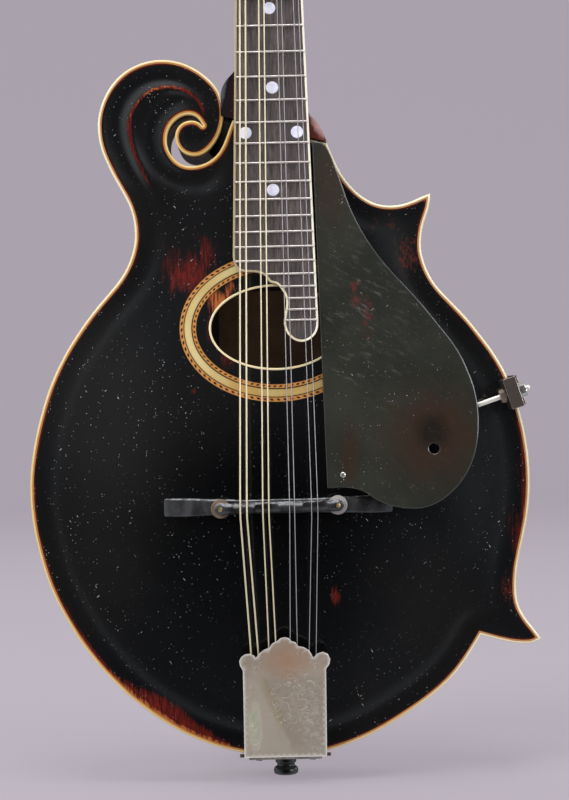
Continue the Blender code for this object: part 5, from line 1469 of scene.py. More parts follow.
def nut():
    """The nut, with a notch under each string."""
    low = board_z(487.5) - 4.9
    sections = []
    for x in np.arange(-14, 14.01, 0.1):
        notch = max(0.55 * math.exp(-(((x - nut_x) / (radius + 0.12)) ** 4))
                    for _, radius, _, nut_x, *_ in STRINGS)
        end = 0.5 * max(0.0, (abs(x) - 13.4) / 0.6) ** 2
        top = 15.25 - notch - end
        sections.append([(x, y, z) for y, z in (
            (487.55, low), (487.55, top - 0.35), (487.85, top), (489.2, top - 0.22),
            (490.6, top - 0.75), (491.5, top - 2.0), (491.6, top - 2.9), (491.6, low + 0.6))])
    make("nut_slotted", loft(sections), "bone", stands_for="nut", sharp=60)


fingerboard()
fret_wires()
position_dots()
nut()

# ------------------------------------------------------------------ neck and headstock
HEAD_COS, HEAD_SIN = math.cos(HEAD_ANGLE), math.sin(HEAD_ANGLE)
HEAD_RUN = faired(HEAD_OUTLINE, 1.0, 1.2)
POSTS = [(side, i, side * POST_X, v) for side in (-1, 1) for i, v in enumerate(POST_V)]
POST_HOLE = 3.2
# half widths on the treble and bass sides, depth and squareness along the neck
neck_treble = cubic(
    [300, 310, 313, 316, 319, 321, 323.4, 325, 326.6, 329, 335, 346, 356, 372, 410, 450, 478, 486],
    [28.6, 27.6, 26.8, 25.7, 24.3, 23.2, 21.7, 20.1, 18.5, 17.7, 17.5, 17.3, 17.0, 16.5, 15.6,
     14.7, 14.1, 13.9])
neck_bass = cubic(
    [300, 315, 323, 330, 334, 338.4, 341, 343.5, 346, 348.4, 350, 353, 360, 372, 410, 450, 478,
     486],
    [24.6, 24.9, 25.1, 25.3, 25.2, 24.9, 24.2, 22.9, 20.9, 18.6, 17.5, 17.1, 16.9, 16.5, 15.6,
     14.7, 14.1, 13.9])
neck_depth = cubic(
    [313, 318, 323, 330, 338, 346, 356, 372, 410, 450, 474, 486],
    [47.2, 47.0, 45.0, 40.0, 33.5, 27.6, 23.6, 21.5, 20.2, 19.2, 18.6, 17.2])
neck_power = cubic([313, 323, 338, 356, 486], [3.4, 2.9, 2.3, 1.9, 1.85])
NECK_STATIONS = [
    320.0, 321.5, 323, 324.5, 326, 327.5, 329, 330.5, 332, 334, 336, 338, 340, 342, 344, 346, 348,
    350, 352.5, 356, 364, 374, 390, 410, 430, 450, 464, 474, 481, 486]
HEAD_STATIONS = [
    3, 5, 8, 12, 16, 20, 24, 28, 32, 37, 44, 52, 60, 70, 80, 90, 98, 106, 113, 119, 124, 128, 131,
    133.5, 135.5, 137, 138.5, 140, 142, 144, 146, 147.4, 148.2]


def heel_line(x):
    """The slanting line where the heel meets the body."""
    return 324.7 - (x + 19.4) * (324.7 - 312.2) / 46.4


def half_section(half, depth, power):
    """Superelliptic lower half section, as x and z arrays."""
    angle = np.linspace(0, math.pi, 29)
    c, s = np.cos(angle), np.sin(angle)
    return np.sign(c) * half * np.abs(c) ** (2 / power), -depth * np.abs(s) ** (2 / power)


def head_point(x, v, w):
    """A headstock place, v up the head and w above its face, in the body's millimetres."""
    return (x, HEAD_ORIGIN[1] + v * HEAD_COS + w * HEAD_SIN,
            HEAD_ORIGIN[2] - v * HEAD_SIN + w * HEAD_COS)


def neck():
    sections, shades = [], []
    for y in NECK_STATIONS:
        slant = float(smooth(347, 326, y))
        unit, z = half_section(1.0, float(neck_depth(y)), float(neck_power(y)))
        half = np.full(len(unit), 18.0)
        # width and slant depend on each other, so they are settled by repetition
        for _ in range(8):
            ys = y + slant * (heel_line(np.clip(unit * half, -26, 28)) - heel_line(0))
            half = np.where(unit > 0, neck_treble(ys), neck_bass(ys))
        sections.append(np.column_stack([unit * half, ys, board_z(ys) - BOARD_THICK + z]))
        treble_dark = float(smooth(350, 325, y))
        bass_dark = float(smooth(392, 366, y))
        shades.append(np.where(unit < 0, 0.55 + 0.45 * bass_dark, 0.55 - 0.25 * treble_dark))
    for v in HEAD_STATIONS:
        half = max(float(np.interp(v, HEAD_RUN[:, 1], HEAD_RUN[:, 0])), 1.2)
        flat = float(smooth(3, 22, v))
        x, w = half_section(half, 15.6 - 2.6 * flat, 1.9 + 9 * flat)
        sections.append(np.column_stack(head_point(x, float(v), w)))
        shades.append(np.full(len(x), 0.6 + 0.3 * flat))
    obj = make("neck_and_headstock", loft(sections), "neck", stands_for="neck",
               floats={"shade": np.concatenate(shades)}, sharp=42)
    hole = cylinder(POST_HOLE, 12, -24, 24)
    cut_away(obj, joined([placed(hole, translation(x, v, 0)) for _, _, x, v in POSTS]), HEAD)


def heel_flank():
    """The heel's bass side runs on down the mouth of the scroll's slot, below the rim."""
    outline = np.array([
        (-18.6, 331.0), (-24.8, 331.0), (-26.0, 326.0), (-27.6, 319.5), (-29.6, 314.6),
        (-32.0, 311.2), (-30.6, 309.0), (-28.2, 309.6), (-25.6, 312.0), (-23.4, 315.8),
        (-21.4, 320.6), (-19.2, 325.4)])
    shape = sheet([outline[::-1]], lambda x, y: 9.0 - 0.55 * (331 - y), -16.5)
    make("heel_flank", shape, "neck", floats={"shade": 1.0}, bevel=0.5)


def headstock_face():
    side = HEAD_RUN[HEAD_RUN[:, 1] > 4.5]
    outline = np.concatenate([[(14.3, 3.2)], side, (side * [-1, 1])[::-1][1:], [(-14.3, 3.2)]])
    holes = [circle(x, v, POST_HOLE) for _, _, x, v in POSTS]
    make("headstock_face", sheet([inset(outline, 0.35)] + holes, 1.85, -0.05), "veneer",
         at=HEAD, stands_for="headstock_veneer", bevel=0.3)
    ferrule = revolve([(3.15, 1.5), (3.15, 3.0), (3.5, 3.35), (4.2, 3.3), (5.0, 2.7), (5.2, 2.2),
                       (5.2, 1.86), (5.2, 1.5)], 36, closed=True)
    make("post_ferrules", joined([placed(ferrule, translation(x, v, 0)) for _, _, x, v in POSTS]),
         "nickel", at=HEAD)


heel_flank()
neck()
headstock_face()


# --------------------------------------------------------------------------- tuners
PLATE_LOW = -HEAD_THICK - 1.6


def ear(x0, x1, v):
    """An upright tab of a machine plate with a round end and a hole for the worm shaft."""
    end = [(v + 2.6 * math.cos(t), WORM_W + 2.6 * -math.sin(t)) for t in np.linspace(0, math.pi, 15)]
    outline = np.array([(v + 2.6, -14.4)] + end + [(v - 2.6, -14.4)])
    verts, faces = flipped(slab(plan([outline, circle(v, WORM_W, 1.8, 18)]), x0, x1))
    return verts[:, [2, 0, 1]], faces


def machine_plate(side, label):
    x0, x1 = sorted((side * 11.0, side * 27.0))
    holes = [circle(side * POST_X, v, 3.35) for v in POST_V]
    parts = [sheet([rounded(x0, x1, 23, 118, 2.2)] + holes, -HEAD_THICK - 0.4, PLATE_LOW)]
    for v in POST_V:
        for x in (side * POST_X - side * 5.6, side * POST_X + side * 6.4):
            parts.append(ear(*sorted((x, x + side * 1.2)), v + WORM_DV))
    make(f"machine_plate_{label}", joined(parts), "nickel", at=HEAD,
         stands_for=f"tuner_plate_{label}", bevel=0.12)
    places = ((13.2, 26.5), (24.6, 26.5), (13.2, 114.5), (24.6, 114.5), (13.2, 71.0))
    screws = [placed(screw_head(1.9, 0.9), translation(side * x, v, PLATE_LOW) @ UPSIDE_DOWN)
              for x, v in places]
    make(f"plate_screws_{label}", joined(screws), "bright", at=HEAD)


def gear():
    rings = []
    for w, scale in ((-17.1, 0.95), (-17.35, 1.0), (-19.05, 1.0), (-19.3, 0.95)):
        ring = []
        for j in range(GEAR_TEETH * 6):
            angle = j * math.pi / (GEAR_TEETH * 3) + math.pi / 2
            lift = (0.0, 0.42, 0.95, 1.0, 0.95, 0.42)[j % 6]
            radius = (4.5 + 1.4 * lift) * scale
            ring.append((radius * math.cos(angle), radius * math.sin(angle), w))
        rings.append(ring)
    return loft(rings)


def worm(side):
    """One continuous thread between plain shaft ends."""
    # (x, radius) stations; no radius where the thread runs
    stations = [(-7.0, 1.35), (-6.8, 1.5), (-2.8, 1.5)]
    stations += [(x, None) for x in np.arange(-2.334, 2.36, WORM_LEAD / 10)]
    stations += [(2.8, 1.5), (18.8, 1.5), (19.0, 1.5)]
    rings = []
    for x, plain in stations:
        ring = []
        for j in range(28):
            angle = 2 * math.pi * j / 28
            turn = (x / WORM_LEAD - (angle - math.pi) / (2 * math.pi) * side) % 1.0
            thread = 1.95 + 1.05 * float(smooth(0.1, 0.9, abs(2 * turn - 1)))
            radius = plain or thread
            ring.append((side * x, radius * math.cos(angle), radius * math.sin(angle)))
        rings.append(ring)
    return loft(rings)


button_radius = cubic(
    [18.9, 19.4, 20.6, 21.7, 22.6, 24.2, 27.0, 29.6, 31.4, 32.35, 32.6],
    [1.55, 2.6, 3.05, 3.15, 4.9, 6.0, 6.6, 6.05, 4.7, 2.6, 0.3])


def button(side):
    """A round collar that opens into a flattened blade."""
    rings = []
    for x in np.concatenate([np.linspace(18.95, 22.6, 14), np.linspace(23.0, 31.4, 18),
                             np.linspace(31.6, 32.6, 8)]):
        radius = max(float(button_radius(x)), 0.25)
        blade = float(smooth(21.9, 23.2, x))
        flat = 1 - 0.42 * blade
        power = 2 / (2 + 0.7 * blade)
        ring = []
        for j in range(36):
            angle = 2 * math.pi * j / 36
            c, s = math.cos(angle), math.sin(angle)
            ring.append((side * x, radius * math.copysign(abs(c) ** power, c),
                         radius * flat * math.copysign(abs(s) ** power, s)))
        rings.append(ring)
    return loft(rings)


def tuner(side, i, x, v):
    tag = f"{'bass' if side < 0 else 'treble'}_{i + 1}"
    shaft = turned([(0, 13.0), (2.1, 13.0), (2.65, 12.75), (2.9, 12.3), (3.0, 11.6), (3.0, 9.9),
                    (2.75, 9.5), (2.72, 6.7), (3.0, 6.2), (3.0, -17.0), (0, -17.0)], 36)
    under = translation(0, 0, -19.3) @ UPSIDE_DOWN
    parts = [shaft, gear(), placed(screw_head(2.1, 0.9), under),
             placed(slot_bar(2.1, 0.9, 0.4 + i), under)]
    make(f"post_and_gear_{tag}", joined(parts), "nickel", f"post_{tag}",
         at=HEAD @ translation(x, v, 0), stands_for=f"tuner_post_{tag}", sharp=30)
    at = HEAD @ translation(x, v + WORM_DV, WORM_W)
    make(f"worm_shaft_{tag}", worm(side), "bright", f"knob_{tag}", at=at,
         stands_for=f"tuner_knob_{tag}", sharp=45)
    make(f"tuner_button_{tag}", button(side), "button", f"knob_{tag}", at=at, sharp=50)


machine_plate(-1, "bass")
machine_plate(1, "treble")
for post in POSTS:
    tuner(*post)


# -------------------------------------------------------------------------- strings
def plate_z(y):
    """Underside of the sloping string plate of the tailpiece."""
    return EDGE + 1.7 + 0.17 * (y - 8)


def fine(path, step):
    """A polyline's points again, no further apart than step."""
    corners = [np.array(q, float) for q in path]
    out = [corners[0]]
    for a, b in zip(corners, corners[1:]):
        n = max(1, int(math.ceil(np.linalg.norm(b - a) / step)))
        out += [a + (b - a) * (i + 1) / n for i in range(n)]
    return np.array(out)


def string(name, radius, saddle_x, nut_x, tail_x, side, number):
    wound = radius > 0.3
    material = "wound" if wound else "steel"
    shown = radius * (0.88 if wound else 0.95)
    near_z, saddle_z = SADDLE_TOP + 0.3 + radius + 0.1, SADDLE_TOP + 0.3 + radius + 0.15
    nut_z = 15.1 + 0.3 + radius - 0.35
    tail = (tail_x, 50.4, plate_z(50) + 2.2)
    crossing = (saddle_x, SADDLE_Y - 0.02, saddle_z)
    run = fine([tail, (saddle_x, 129.0, near_z), crossing], 4)
    tail_run = make(f"string_tail_run_{name}", sweep(run, shown, 12), material, None,
                    stands_for=f"string_{name}", sharp=80)
    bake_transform(tail_run)
    run = fine([crossing, (nut_x, 488.3, nut_z)], 8)
    speaking = make(f"string_speaking_{name}", sweep(run, shown, 12), material, None, sharp=80)
    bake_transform(speaking)
    # from the nut to the post and round it, 24 points a turn
    coil = 3.0 + 0.42 + radius - 0.4
    direction, start = (1, 0.0) if side < 0 else (-1, math.pi)
    path = [(nut_x, 488.2, nut_z), (nut_x, 489.6, nut_z - 0.22), (nut_x, 491.0, nut_z - 0.85),
            (nut_x, 492.6, 14.4 + radius - 1.0)]
    for j in range(85):
        angle = start + 2 * math.pi * j / 24 * direction
        path.append(head_point(side * POST_X + coil * math.cos(angle),
                               POST_V[number] + coil * math.sin(angle),
                               9.3 - (2 * radius + 0.12) * j / 24))
    path = fine(path[:5], 5)[:-1].tolist() + path[4:]
    make(f"string_winding_{name}", sweep(path, shown, 10), material, sharp=80)
    # the loop end on its hook, under the cover
    loop = [(tail_x + 1.75 * math.sin(t), 48.2 - 1.9 + 1.9 * math.cos(t) + 0.6, plate_z(48) + 2.3)
            for t in np.linspace(-2.7, 2.7, 26)]
    twist = [(tail_x + 0.35 * math.sin(t * 9), 49.6 + 4.6 * t,
              plate_z(50) + 2.3 + 0.35 * math.cos(t * 9)) for t in np.linspace(0, 1, 22)]
    wire = min(radius, 0.26)
    make(f"string_loop_{name}", joined([sweep(loop, wire, 8), sweep(twist, wire, 8)]), "steel",
         sharp=80)


for row in STRINGS:
    string(*row)

# --------------------------------------------------------------------------- bridge
BRIDGE_Y, BRIDGE_TOP = 133.6, 39.0
BRIDGE_X = [-57, -56, -54, -50, -46, -42, -39, -36, -34, -31, -20, 0, 20, 31, 34, 36, 38.5, 41,
            45, 48, 52, 54.2, 55.2]
WHEELS = {"bass": (-28.9, 133.1), "treble": (28.1, 133.8)}      # x, y of the adjusters


def bridge_foot():
    tops, lows, widths = [], [], []
    for x in BRIDGE_X:
        under = float(surface(x, BRIDGE_Y)[0])
        off = abs(x + 0.9)
        raised = float(smooth(0, 1, (41 - off) / 8))
        foot = under + 4.4 - max(off - 41, 0) * 0.13 - 1.3 * float(smooth(53, 56.5, off))
        tops.append(foot * (1 - raised) + BRIDGE_TOP * raised)
        lows.append(under + (0.3 + 1.5 * float(smooth(33, 29, abs(x)))))
        widths.append(float(np.interp(off, [0, 20, 26, 30, 34, 38, 46, 52, 56.1],
                                      [3.4, 3.4, 3.7, 3.9, 3.8, 4.05, 4.45, 4.45, 4.3])))
    top, low, width = (cubic(BRIDGE_X, values) for values in (tops, lows, widths))
    sections = []
    for x in np.concatenate([[-57, -56.93, -56.7, -56.4, -56.1], np.linspace(-55.5, 53.8, 90),
                             [54.3, 54.6, 54.9, 55.13, 55.2]]):
        z1, z0, half = float(top(x)), float(low(x)), float(width(x))
        end = min(x + 57.0, 55.2 - x)
        half -= 0.9 * (1 - math.sqrt(max(0.0, 1 - max(0.0, 1 - end / 0.9) ** 2)))
        round_off = min(1.1, half * 0.5, (z1 - z0) * 0.4)
        ring = [(x, BRIDGE_Y - half, z0)]
        for t in np.linspace(0, math.pi / 2, 5):
            ring.append((x, BRIDGE_Y - half + round_off - round_off * math.cos(t),
                         z1 - round_off + round_off * math.sin(t)))
        for t in np.linspace(0, math.pi / 2, 5):
            ring.append((x, BRIDGE_Y + half - round_off + round_off * math.sin(t),
                         z1 - round_off + round_off * math.cos(t)))
        ring.append((x, BRIDGE_Y + half, z0))
        sections.append(ring)
    return make("bridge_foot", loft(sections), "bridge", stands_for="bridge_base", sharp=45)


def saddle():
    """A bar whose crown steps back and forth under the four courses."""
    quarter = np.linspace(0.02, math.pi / 2, 14)
    stations = np.concatenate([
        -28.9 - 2.85 * np.cos(quarter), np.linspace(-28, -24, 6), np.linspace(-23.5, 23.5, 86),
        np.linspace(24, 27.6, 6), 28.1 + 2.85 * np.cos(np.linspace(math.pi / 2, 0.02, 14))])
    # from x, to x, share of the crown's shift along y
    courses = ((-22.5, -12.2, -0.7), (-12.2, -0.8, 0.6), (-0.8, 11.0, -0.5), (11.0, 22.5, 0.8))
    sections = []
    for x in stations:
        over = max(0.0, -28.9 - x, x - 28.1)
        end = math.sqrt(max(0.0, 1 - (over / 2.851) ** 2))
        y = 133.45 + 0.0123 * x
        middle = float(smooth(27.5, 23.5, abs(x)))
        half = (2.85 * (1 - middle) + 2.65 * middle) * max(end, 0.05)
        top = SADDLE_TOP - 0.9 * (1 - middle) * float(smooth(24, 31, abs(x)))
        low = 43.5
        shift = 0.0
        for x0, x1, share in courses:
            shift += (share * float(smooth(x0 - 0.15, x0 + 0.15, x))
                      * float(smooth(x1 + 0.15, x1 - 0.15, x)))
        crown = y + 1.1 * shift
        slim = max(end, 0.12)
        sections.append([(x, *point) for point in (
            (y - half, low + 0.3), (y - half, 46.0), (y - half + 0.2, 46.8),
            (crown - 1.2 * slim, top - 0.12), (crown - 0.5 * slim, top),
            (crown + 0.5 * slim, top), (crown + 1.2 * slim, top - 0.2),
            (y + half - 0.2, 46.9), (y + half, 46.1), (y + half, low + 0.3),
            (y + half - 0.3, low), (y - half + 0.3, low))])
    return make("adjustable_saddle", loft(sections), "bridge", "saddle",
                stands_for="bridge_saddle", sharp=35)


def adjuster(label, x, y, foot, bar):
    """A threaded post and its knurled wheel, with holes for the post."""
    cut_away(foot, placed(cylinder(1.65, 3, -5.2, 20), translation(x, y, 39.5)), FRAME)
    cut_away(bar, placed(cylinder(1.42, 10, -10, 24), translation(x, y, 46)), FRAME)
    rings = []
    for z in np.arange(35.6, 47.75, 0.07):
        edge = min(1.0, (47.78 - z) / 0.3)
        ring = []
        for j in range(20):
            angle = 2 * math.pi * j / 20
            turn = (z / 0.7 - j / 20) % 1.0
            radius = (1.12 + 0.2 * abs(2 * turn - 1)) * (0.8 + 0.2 * edge)
            ring.append((x + radius * math.cos(angle), y + radius * math.sin(angle), z))
        rings.append(ring)
    make(f"saddle_post_{label}", loft(rings), "brass", stands_for=f"bridge_post_{label}",
         sharp=60)

    def knurl(radius, z, angle):
        return radius - (0.22 * (0.5 + 0.5 * math.cos(44 * angle)) if radius > 4.5 else 0)

    profile = [(1.66, 1.3), (2.6, 1.3), (2.9, 1.12), (3.6, 1.12), (3.9, 1.3), (4.45, 1.3),
               (4.75, 1.02), (4.75, -1.02), (4.45, -1.3), (1.66, -1.3)]
    make(f"wheel_{label}", revolve(profile, 176, closed=True, wobble=knurl), f"wheel_{label}",
         f"thumbwheel_{label}", at=FRAME @ translation(x, y, 41.9),
         stands_for=f"thumbwheel_{label}", sharp=50)


bridge_foot_obj = bridge_foot()
saddle_obj = saddle()
for label, (x, y) in WHEELS.items():
    adjuster(label, x, y, bridge_foot_obj, saddle_obj)


# ---------------------------------------------------------------------- finger rest
def guard_z(y):
    return board_z(y) - 1.5


def finger_rest():
    outline = thinned(faired(GUARD, 0.7, 1.4), 0.05)
    hole_x, hole_y = 75.6, 160.2
    extra = grid(25, 100, 130, 330, 4.0)
    from_hole = np.hypot(extra[:, 0] - hole_x, extra[:, 1] - hole_y)
    extra = extra[(distance_to(extra, outline) > 1.5) & (from_hole > 3.6)]
    shape = sheet([outline, circle(hole_x, hole_y, 2.55)], lambda x, y: guard_z(y),
                  lambda x, y: guard_z(y) - 1.8, extra)
    make("pickguard", shape, "guard", stands_for="finger_rest", bevel=0.6, segments=3)
    pin = turned([(0, 0.5), (0.8, 0.42), (1.3, 0.18), (1.45, -0.1), (1.45, -1.7), (0, -1.7)], 28)
    make("guard_pin", pin, "bright", at=FRAME @ translation(30.9, 148.3, guard_z(148.3)))


finger_rest()

# ---------------------------------------------------------------------------- clamp
ROD_H = 14.6        # the rod's height above the rim


def support_rod():
    rod = turned([(0, 12.6), (0.9, 12.6), (1.2, 12.2), (1.25, 11.6), (1.25, -14.2), (0, -14.2)], 28)
    rod = placed(rod, translation(-6.7, 0, ROD_H) @ Z_ALONG_X)
    foot = sheet([rounded(-36, -23.5, -4, 4, 2.0)], ROD_H + 0.7, ROD_H - 1.0)
    make("support_rod", joined([rod, foot]), "rod", at=CLAMP, stands_for="guard_rod", bevel=0.18)
    screws = [placed(screw_head(1.2, 0.5), translation(x, 0, ROD_H - 1.0) @ UPSIDE_DOWN)
              for x in (-33, -23)]
    make("support_screws", joined(screws), "rusty", at=CLAMP)


def rim_clamp():
    profile = [(-6.1, 0.8), (-6.1, 19.5), (0.3, 19.5), (0.3, 8.6), (2.4, 8.6), (2.4, -45.4),
               (-6, -45.4), (-6, -43.9), (0.8, -43.9), (0.8, 0.8)]
    shape = loft([[(x, y, z) for x, z in profile] for y in (-7.6, 7.6)])
    clamp = make("rim_clamp", shape, "clamp", "clamp", at=CLAMP, stands_for="clamp_bracket")
    hole = placed(cylinder(1.6, 10, -10, 24), translation(-3, 0, ROD_H) @ Z_ALONG_X)
    cut_away(clamp, hole, CLAMP)
    bevel_edges(clamp, 0.35, 3)


def hex_nut(name, x, radius, half, material, body):
    """A six-sided nut on the rod with turned-off corners and a bore."""
    def hexagon(r, z, angle):
        if r <= 2:
            return r
        turn = ((angle + math.pi / 6) % (math.pi / 3)) - math.pi / 6
        return min(r, radius * math.cos(math.pi / 6) / math.cos(turn))

    profile = [(1.66, half - 0.1), (radius * 0.84, half), (radius, half - 0.45),
               (radius, -half + 0.45), (radius * 0.84, -half), (1.66, -half + 0.1)]
    make(name, revolve(profile, 48, closed=True, wobble=hexagon), material, body,
         at=CLAMP @ translation(x, 0, ROD_H) @ Z_ALONG_X, stands_for=f"clamp_{name}", sharp=30)


support_rod()
rim_clamp()
hex_nut("inner_nut", -7.9, 3.3, 1.5, "rusty", "clamp")
hex_nut("outer_nut", 2.15, 3.6, 1.7, "bright", "clamp_nut")


# ------------------------------------------------------------------------- tailpiece
def string_plate():
    profile = [
        (7.35, -15), (7.35, plate_z(7)), (7.5, plate_z(7) + 0.8), (8.0, plate_z(7) + 1.4),
        (8.8, plate_z(7) + 1.6), (58, plate_z(58) + 1.2), (58, plate_z(58)),
        (9.4, plate_z(8.9)), (8.1, plate_z(7.6) - 1.3), (8.1, -15)]
    # the dark nickel here is painted shade under the cover
    plate = make("string_plate", side_prism(profile, -18, 18), "clamp",
                 stands_for="tailpiece_base")
    hole = placed(cylinder(3.7, 8, -8, 32), translation(0, 7, 0) @ Z_ALONG_MINUS_Y)
    cut_away(plate, hole, FRAME)
    bevel_edges(plate, 0.2)


def hooks_and_screws():
    base = plate_z(48)
    profile = [(47.6, base + 1.0), (47.6, base + 3.2), (46.6, base + 3.9), (46.2, base + 3.3),
               (46.9, base + 2.8), (46.9, base + 1.0)]
    hooks = [side_prism(profile, tail_x - 0.9, tail_x + 0.9) for _, _, _, _, tail_x, *_ in STRINGS]
    make("string_hooks", joined(hooks), "nickel", bevel=0.12)
    parts = []
    for x in (-13.3, 13.3):
        for z in (18.6, -9.0):
            at = translation(x, 7.35, z) @ Z_ALONG_MINUS_Y
            parts += [placed(screw_head(1.9, 1.1), at), placed(slot_bar(1.9, 1.1, 0.5), at)]
    make("tailpiece_screws", joined(parts), "clamp")


def cover():
    corners = np.concatenate([[(-20.2, 9.7), (20.4, 9.7)], thinned(np.array(CLOUD, float), 0.02)])
    corners = anticlockwise(corners)
    outline = []
    for a, b in zip(corners, np.roll(corners, -1, axis=0)):
        n = max(1, int(np.linalg.norm(b - a) / 1.5))
        outline += [a + (b - a) * i / n for i in range(n)]
    outline = np.array(outline)

    def top(x, y):
        """A turned-down edge, then a bead and a groove that follow it."""
        d = distance_to(np.column_stack([x, y]), outline)
        return (plate_z(y) + 7.1 - 0.32 * np.exp(-((d / 0.5) ** 2))
                + 0.16 * np.exp(-(((d - 1.5) / 0.5) ** 2))
                - 0.10 * np.exp(-(((d - 2.7) / 0.5) ** 2)))

    middle = grid(-22, 22, 9, 76, 1.7)
    middle = middle[distance_to(middle, outline) > 1.0]
    inward = mitres(outline)
    extra = np.concatenate([middle] + [(outline + d * inward)[::2] for d in (0.35, 0.8, 1.5, 2.2)])
    extra = extra[(distance_to(extra, outline) > 0.28) & within(extra, outline)]
    face = sheet([outline], top, lambda x, y: plate_z(y) + 6.0, extra)
    walls = []
    # each wall's outline, and its lower edge above the string plate's underside
    for wall, low in (([(-20.15, 9.8), (-18.9, 9.8), (-18.9, 52), (-19.95, 52)], 0.4),
                      ([(19.1, 9.8), (20.35, 9.8), (20.65, 52), (19.5, 52)], 0.4),
                      ([(-20.1, 9.75), (20.3, 9.75), (20.3, 10.9), (-20.1, 10.9)], 2.0)):
        walls.append(sheet([np.array(wall)], lambda x, y: plate_z(y) + 6.4,
                           lambda x, y: plate_z(y) + low))
    shape = joined([face] + walls)
    # 'edge' is 1 at the rim of the face, which the cover's paint lightens for rubbing and a painted
    # highlight
    edge = np.full(len(shape[0]), 0.25)
    edge[:len(face[0])] = smooth(0.85, 0.30, distance_to(face[0][:, :2], outline))
    make("engraved_cover", shape, "cover", "tailpiece_cover", stands_for="tailpiece_cover",
         sharp=50, floats={"edge": edge})
    tabs = [box_shape((x, 8.5, 21.7), (x + 4.6, 10.3, 22.5)) for x in (18.0, -22.6)]
    make("tailpiece_tabs", joined(tabs), "clamp", bevel=0.25)


def end_button():
    profile = [
        (0, 4.0), (3.9, 3.98), (4.8, 3.9), (5.5, 3.65), (5.95, 3.2), (6.1, 2.6), (6.1, 1.4),
        (5.9, 0.75), (5.4, 0.25), (4.7, -0.2), (4.4, -0.7), (4.4, -1.3), (4.7, -1.8),
        (5.2, -2.2), (5.3, -2.7), (5.3, -4.9), (5.1, -5.4), (4.2, -5.8), (3.3, -6.1), (3.1, -9),
        (2.6, -27.5), (0, -27.5)]
    make("end_button", turned(profile, 56), "pin", at=FRAME @ Z_ALONG_MINUS_Y,
         stands_for="end_pin", sharp=50)


string_plate()
hooks_and_screws()
cover()
end_button()

# ------------------------------------- plain pieces inside keep their own meshes
for node_name, key in (
    ("neck_block", "maple"), ("tail_block", "maple"), ("upper_point_block", "maple"),
    ("lower_point_block", "maple"), ("top_lining", "spruce"), ("back_lining", "spruce"),
    ("transverse_brace", "spruce"), ("paper_label", "paper"),
):
    inner_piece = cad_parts[node_name]
    slot, paint = MATERIALS[key]
    for i in range(len(inner_piece.data.materials)):
        inner_piece.data.materials[i] = paint
    if not len(inner_piece.data.materials):
        inner_piece.data.materials.append(paint)

# ------------------------------------------------- backdrop, world, lights and camera
scene = bpy.context.scene
scene.view_settings.view_transform = "Standard"
scene.view_settings.look = "None"


def backdrop():
    """A floor that curves up into a wall behind, in metres; it glows a little."""
    material = bpy.data.materials.new("pale_backdrop")
    material.use_nodes = True
    inputs = material.node_tree.nodes["Principled BSDF"].inputs
    inputs["Base Color"].default_value = (0.135, 0.125, 0.135, 1)
    inputs["Emission Color"].default_value = (0.455, 0.41, 0.47, 1)
    inputs["Emission Strength"].default_value = 0.66
    inputs["Roughness"].default_value = 0.9
    inputs["Specular IOR Level"].default_value = 0.1
    bend_y, bend = 2.6, 0.9
    path = [(-40.0, 0.0), (bend_y, 0.0)]
    path += [(bend_y + bend * math.sin(t), bend - bend * math.cos(t))
             for t in np.linspace(0.15, math.pi / 2, 10)]
    path += [(bend_y + bend, 12.0)]
    n = len(path)
    mesh = bpy.data.meshes.new("backdrop")
    mesh.from_pydata([(x, y, z) for x in (-40.0, 40.0) for y, z in path], [],
                     [(i, i + n, i + n + 1, i + 1) for i in range(n - 1)])
    mesh.materials.append(material)
    mesh.shade_smooth()
    obj = link_object("backdrop", mesh)
    obj.visible_glossy = False


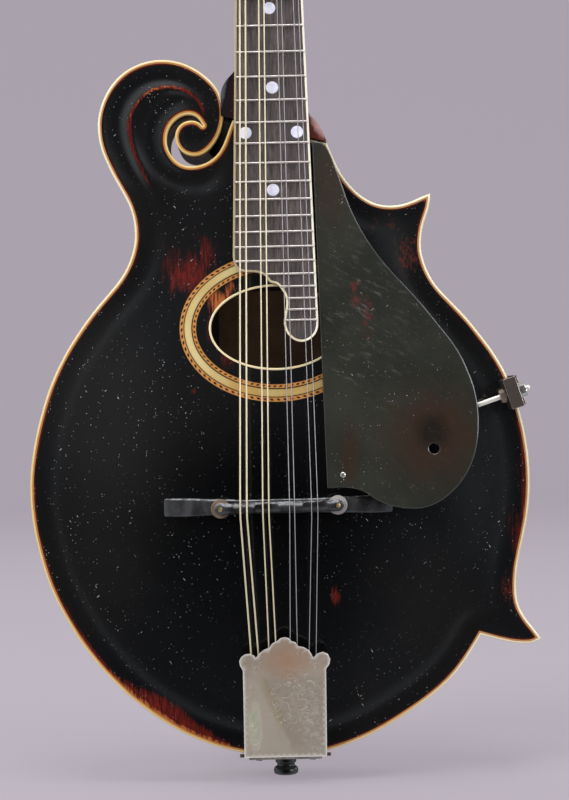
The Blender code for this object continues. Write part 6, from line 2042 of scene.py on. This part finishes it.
def studio_world():
    """Even light, a plain tone for the camera and a banded sky for reflections."""
    world = bpy.data.worlds.new("studio")
    scene.world = world
    world.use_nodes = True
    nodes, link = world.node_tree.nodes, world.node_tree.links.new
    nodes.clear()

    def background(colour=None, strength=1.0):
        node = nodes.new("ShaderNodeBackground")
        if colour:
            node.inputs["Color"].default_value = (*colour, 1)
        node.inputs["Strength"].default_value = strength
        return node.outputs[0]

    def switch(ray, otherwise, then):
        node = nodes.new("ShaderNodeMixShader")
        link(rays.outputs[ray], node.inputs["Fac"])
        link(otherwise, node.inputs[1])
        link(then, node.inputs[2])
        return node.outputs[0]

    rays = nodes.new("ShaderNodeLightPath")
    reflected = background()
    direction = nodes.new("ShaderNodeTexCoord")
    axes = nodes.new("ShaderNodeSeparateXYZ")
    # 0 looking along +Y, 1 looking along -Y
    towards_front = nodes.new("ShaderNodeMath")
    towards_front.operation = "MULTIPLY_ADD"
    towards_front.inputs[1].default_value = -0.5
    towards_front.inputs[2].default_value = 0.5
    bands = nodes.new("ShaderNodeValToRGB")
    stops = bands.color_ramp.elements
    stops[0].position, stops[0].color = 0.0, (0.03, 0.03, 0.035, 1)
    stops[1].position, stops[1].color = 1.0, (0.009, 0.009, 0.011, 1)
    for position, tone in ((0.12, 0.08), (0.34, 0.75), (0.62, 0.80), (0.80, 0.62),
                           (0.885, 0.30), (0.945, 0.055)):
        stops.new(position).color = (tone * 0.94, tone, tone * 1.06, 1)
    link(direction.outputs["Generated"], axes.inputs[0])
    link(axes.outputs["Y"], towards_front.inputs[0])
    link(towards_front.outputs[0], bands.inputs["Fac"])
    link(bands.outputs["Color"], reflected.node.inputs["Color"])
    ambient = background((0.93, 0.93, 1.0), strength=0.62)
    seen = background((0.39, 0.36, 0.43))
    light = switch("Is Glossy Ray", ambient, reflected)
    output = nodes.new("ShaderNodeOutputWorld")
    link(switch("Is Camera Ray", light, seen), output.inputs["Surface"])


def area_light(name, at, size, power, colour, size_y=None):
    """A rectangular light aimed at the middle of the instrument."""
    data = bpy.data.lights.new(name, "AREA")
    data.shape = "RECTANGLE"
    data.size, data.size_y = size, size_y or size
    data.energy, data.color = power, colour
    obj = link_object(name, data)
    obj.location = at
    aim = Vector((0, 0, 0.32)) - Vector(at)
    obj.rotation_euler = aim.to_track_quat("-Z", "Y").to_euler()
    obj.visible_camera = False
    return obj


def camera():
    """A long lens in front of the top, rolled slightly."""
    data = bpy.data.cameras.new("photo_view")
    obj = link_object("photo_view", data)
    roll = math.radians(1.25)
    right = Vector((math.cos(roll), 0, -math.sin(roll)))
    up = Vector((math.sin(roll), 0, math.cos(roll)))
    backward = Vector((0, -1, 0))
    turn = Matrix((right, up, backward)).transposed().to_4x4()
    obj.matrix_world = Matrix.Translation((0.00328, -1.0215, 0.1893)) @ turn
    data.lens = 90.711
    data.sensor_width = 36
    data.sensor_fit = "AUTO"
    data.clip_start, data.clip_end = 0.01, 100
    scene.camera = obj


backdrop()
studio_world()
key_light = area_light("key", (-1.5, -1.25, 1.25), size=0.9, power=38, colour=(1.0, 0.98, 0.96))
key_light.visible_glossy = False
area_light("fill", (1.6, -1.0, 0.65), size=0.9, power=17, colour=(0.94, 0.96, 1.0))
area_light("top_light", (0.0, -0.35, 1.9), size=1.0, power=16, colour=(0.95, 0.97, 1.0),
           size_y=0.5)
area_light("rear_left", (-1.3, 1.2, 1.2), size=1.1, power=14, colour=(1.0, 0.98, 0.96))
area_light("rear_right", (1.4, 1.0, 0.9), size=1.0, power=10, colour=(0.95, 0.97, 1.0))
camera()

bpy.context.view_layer.update()
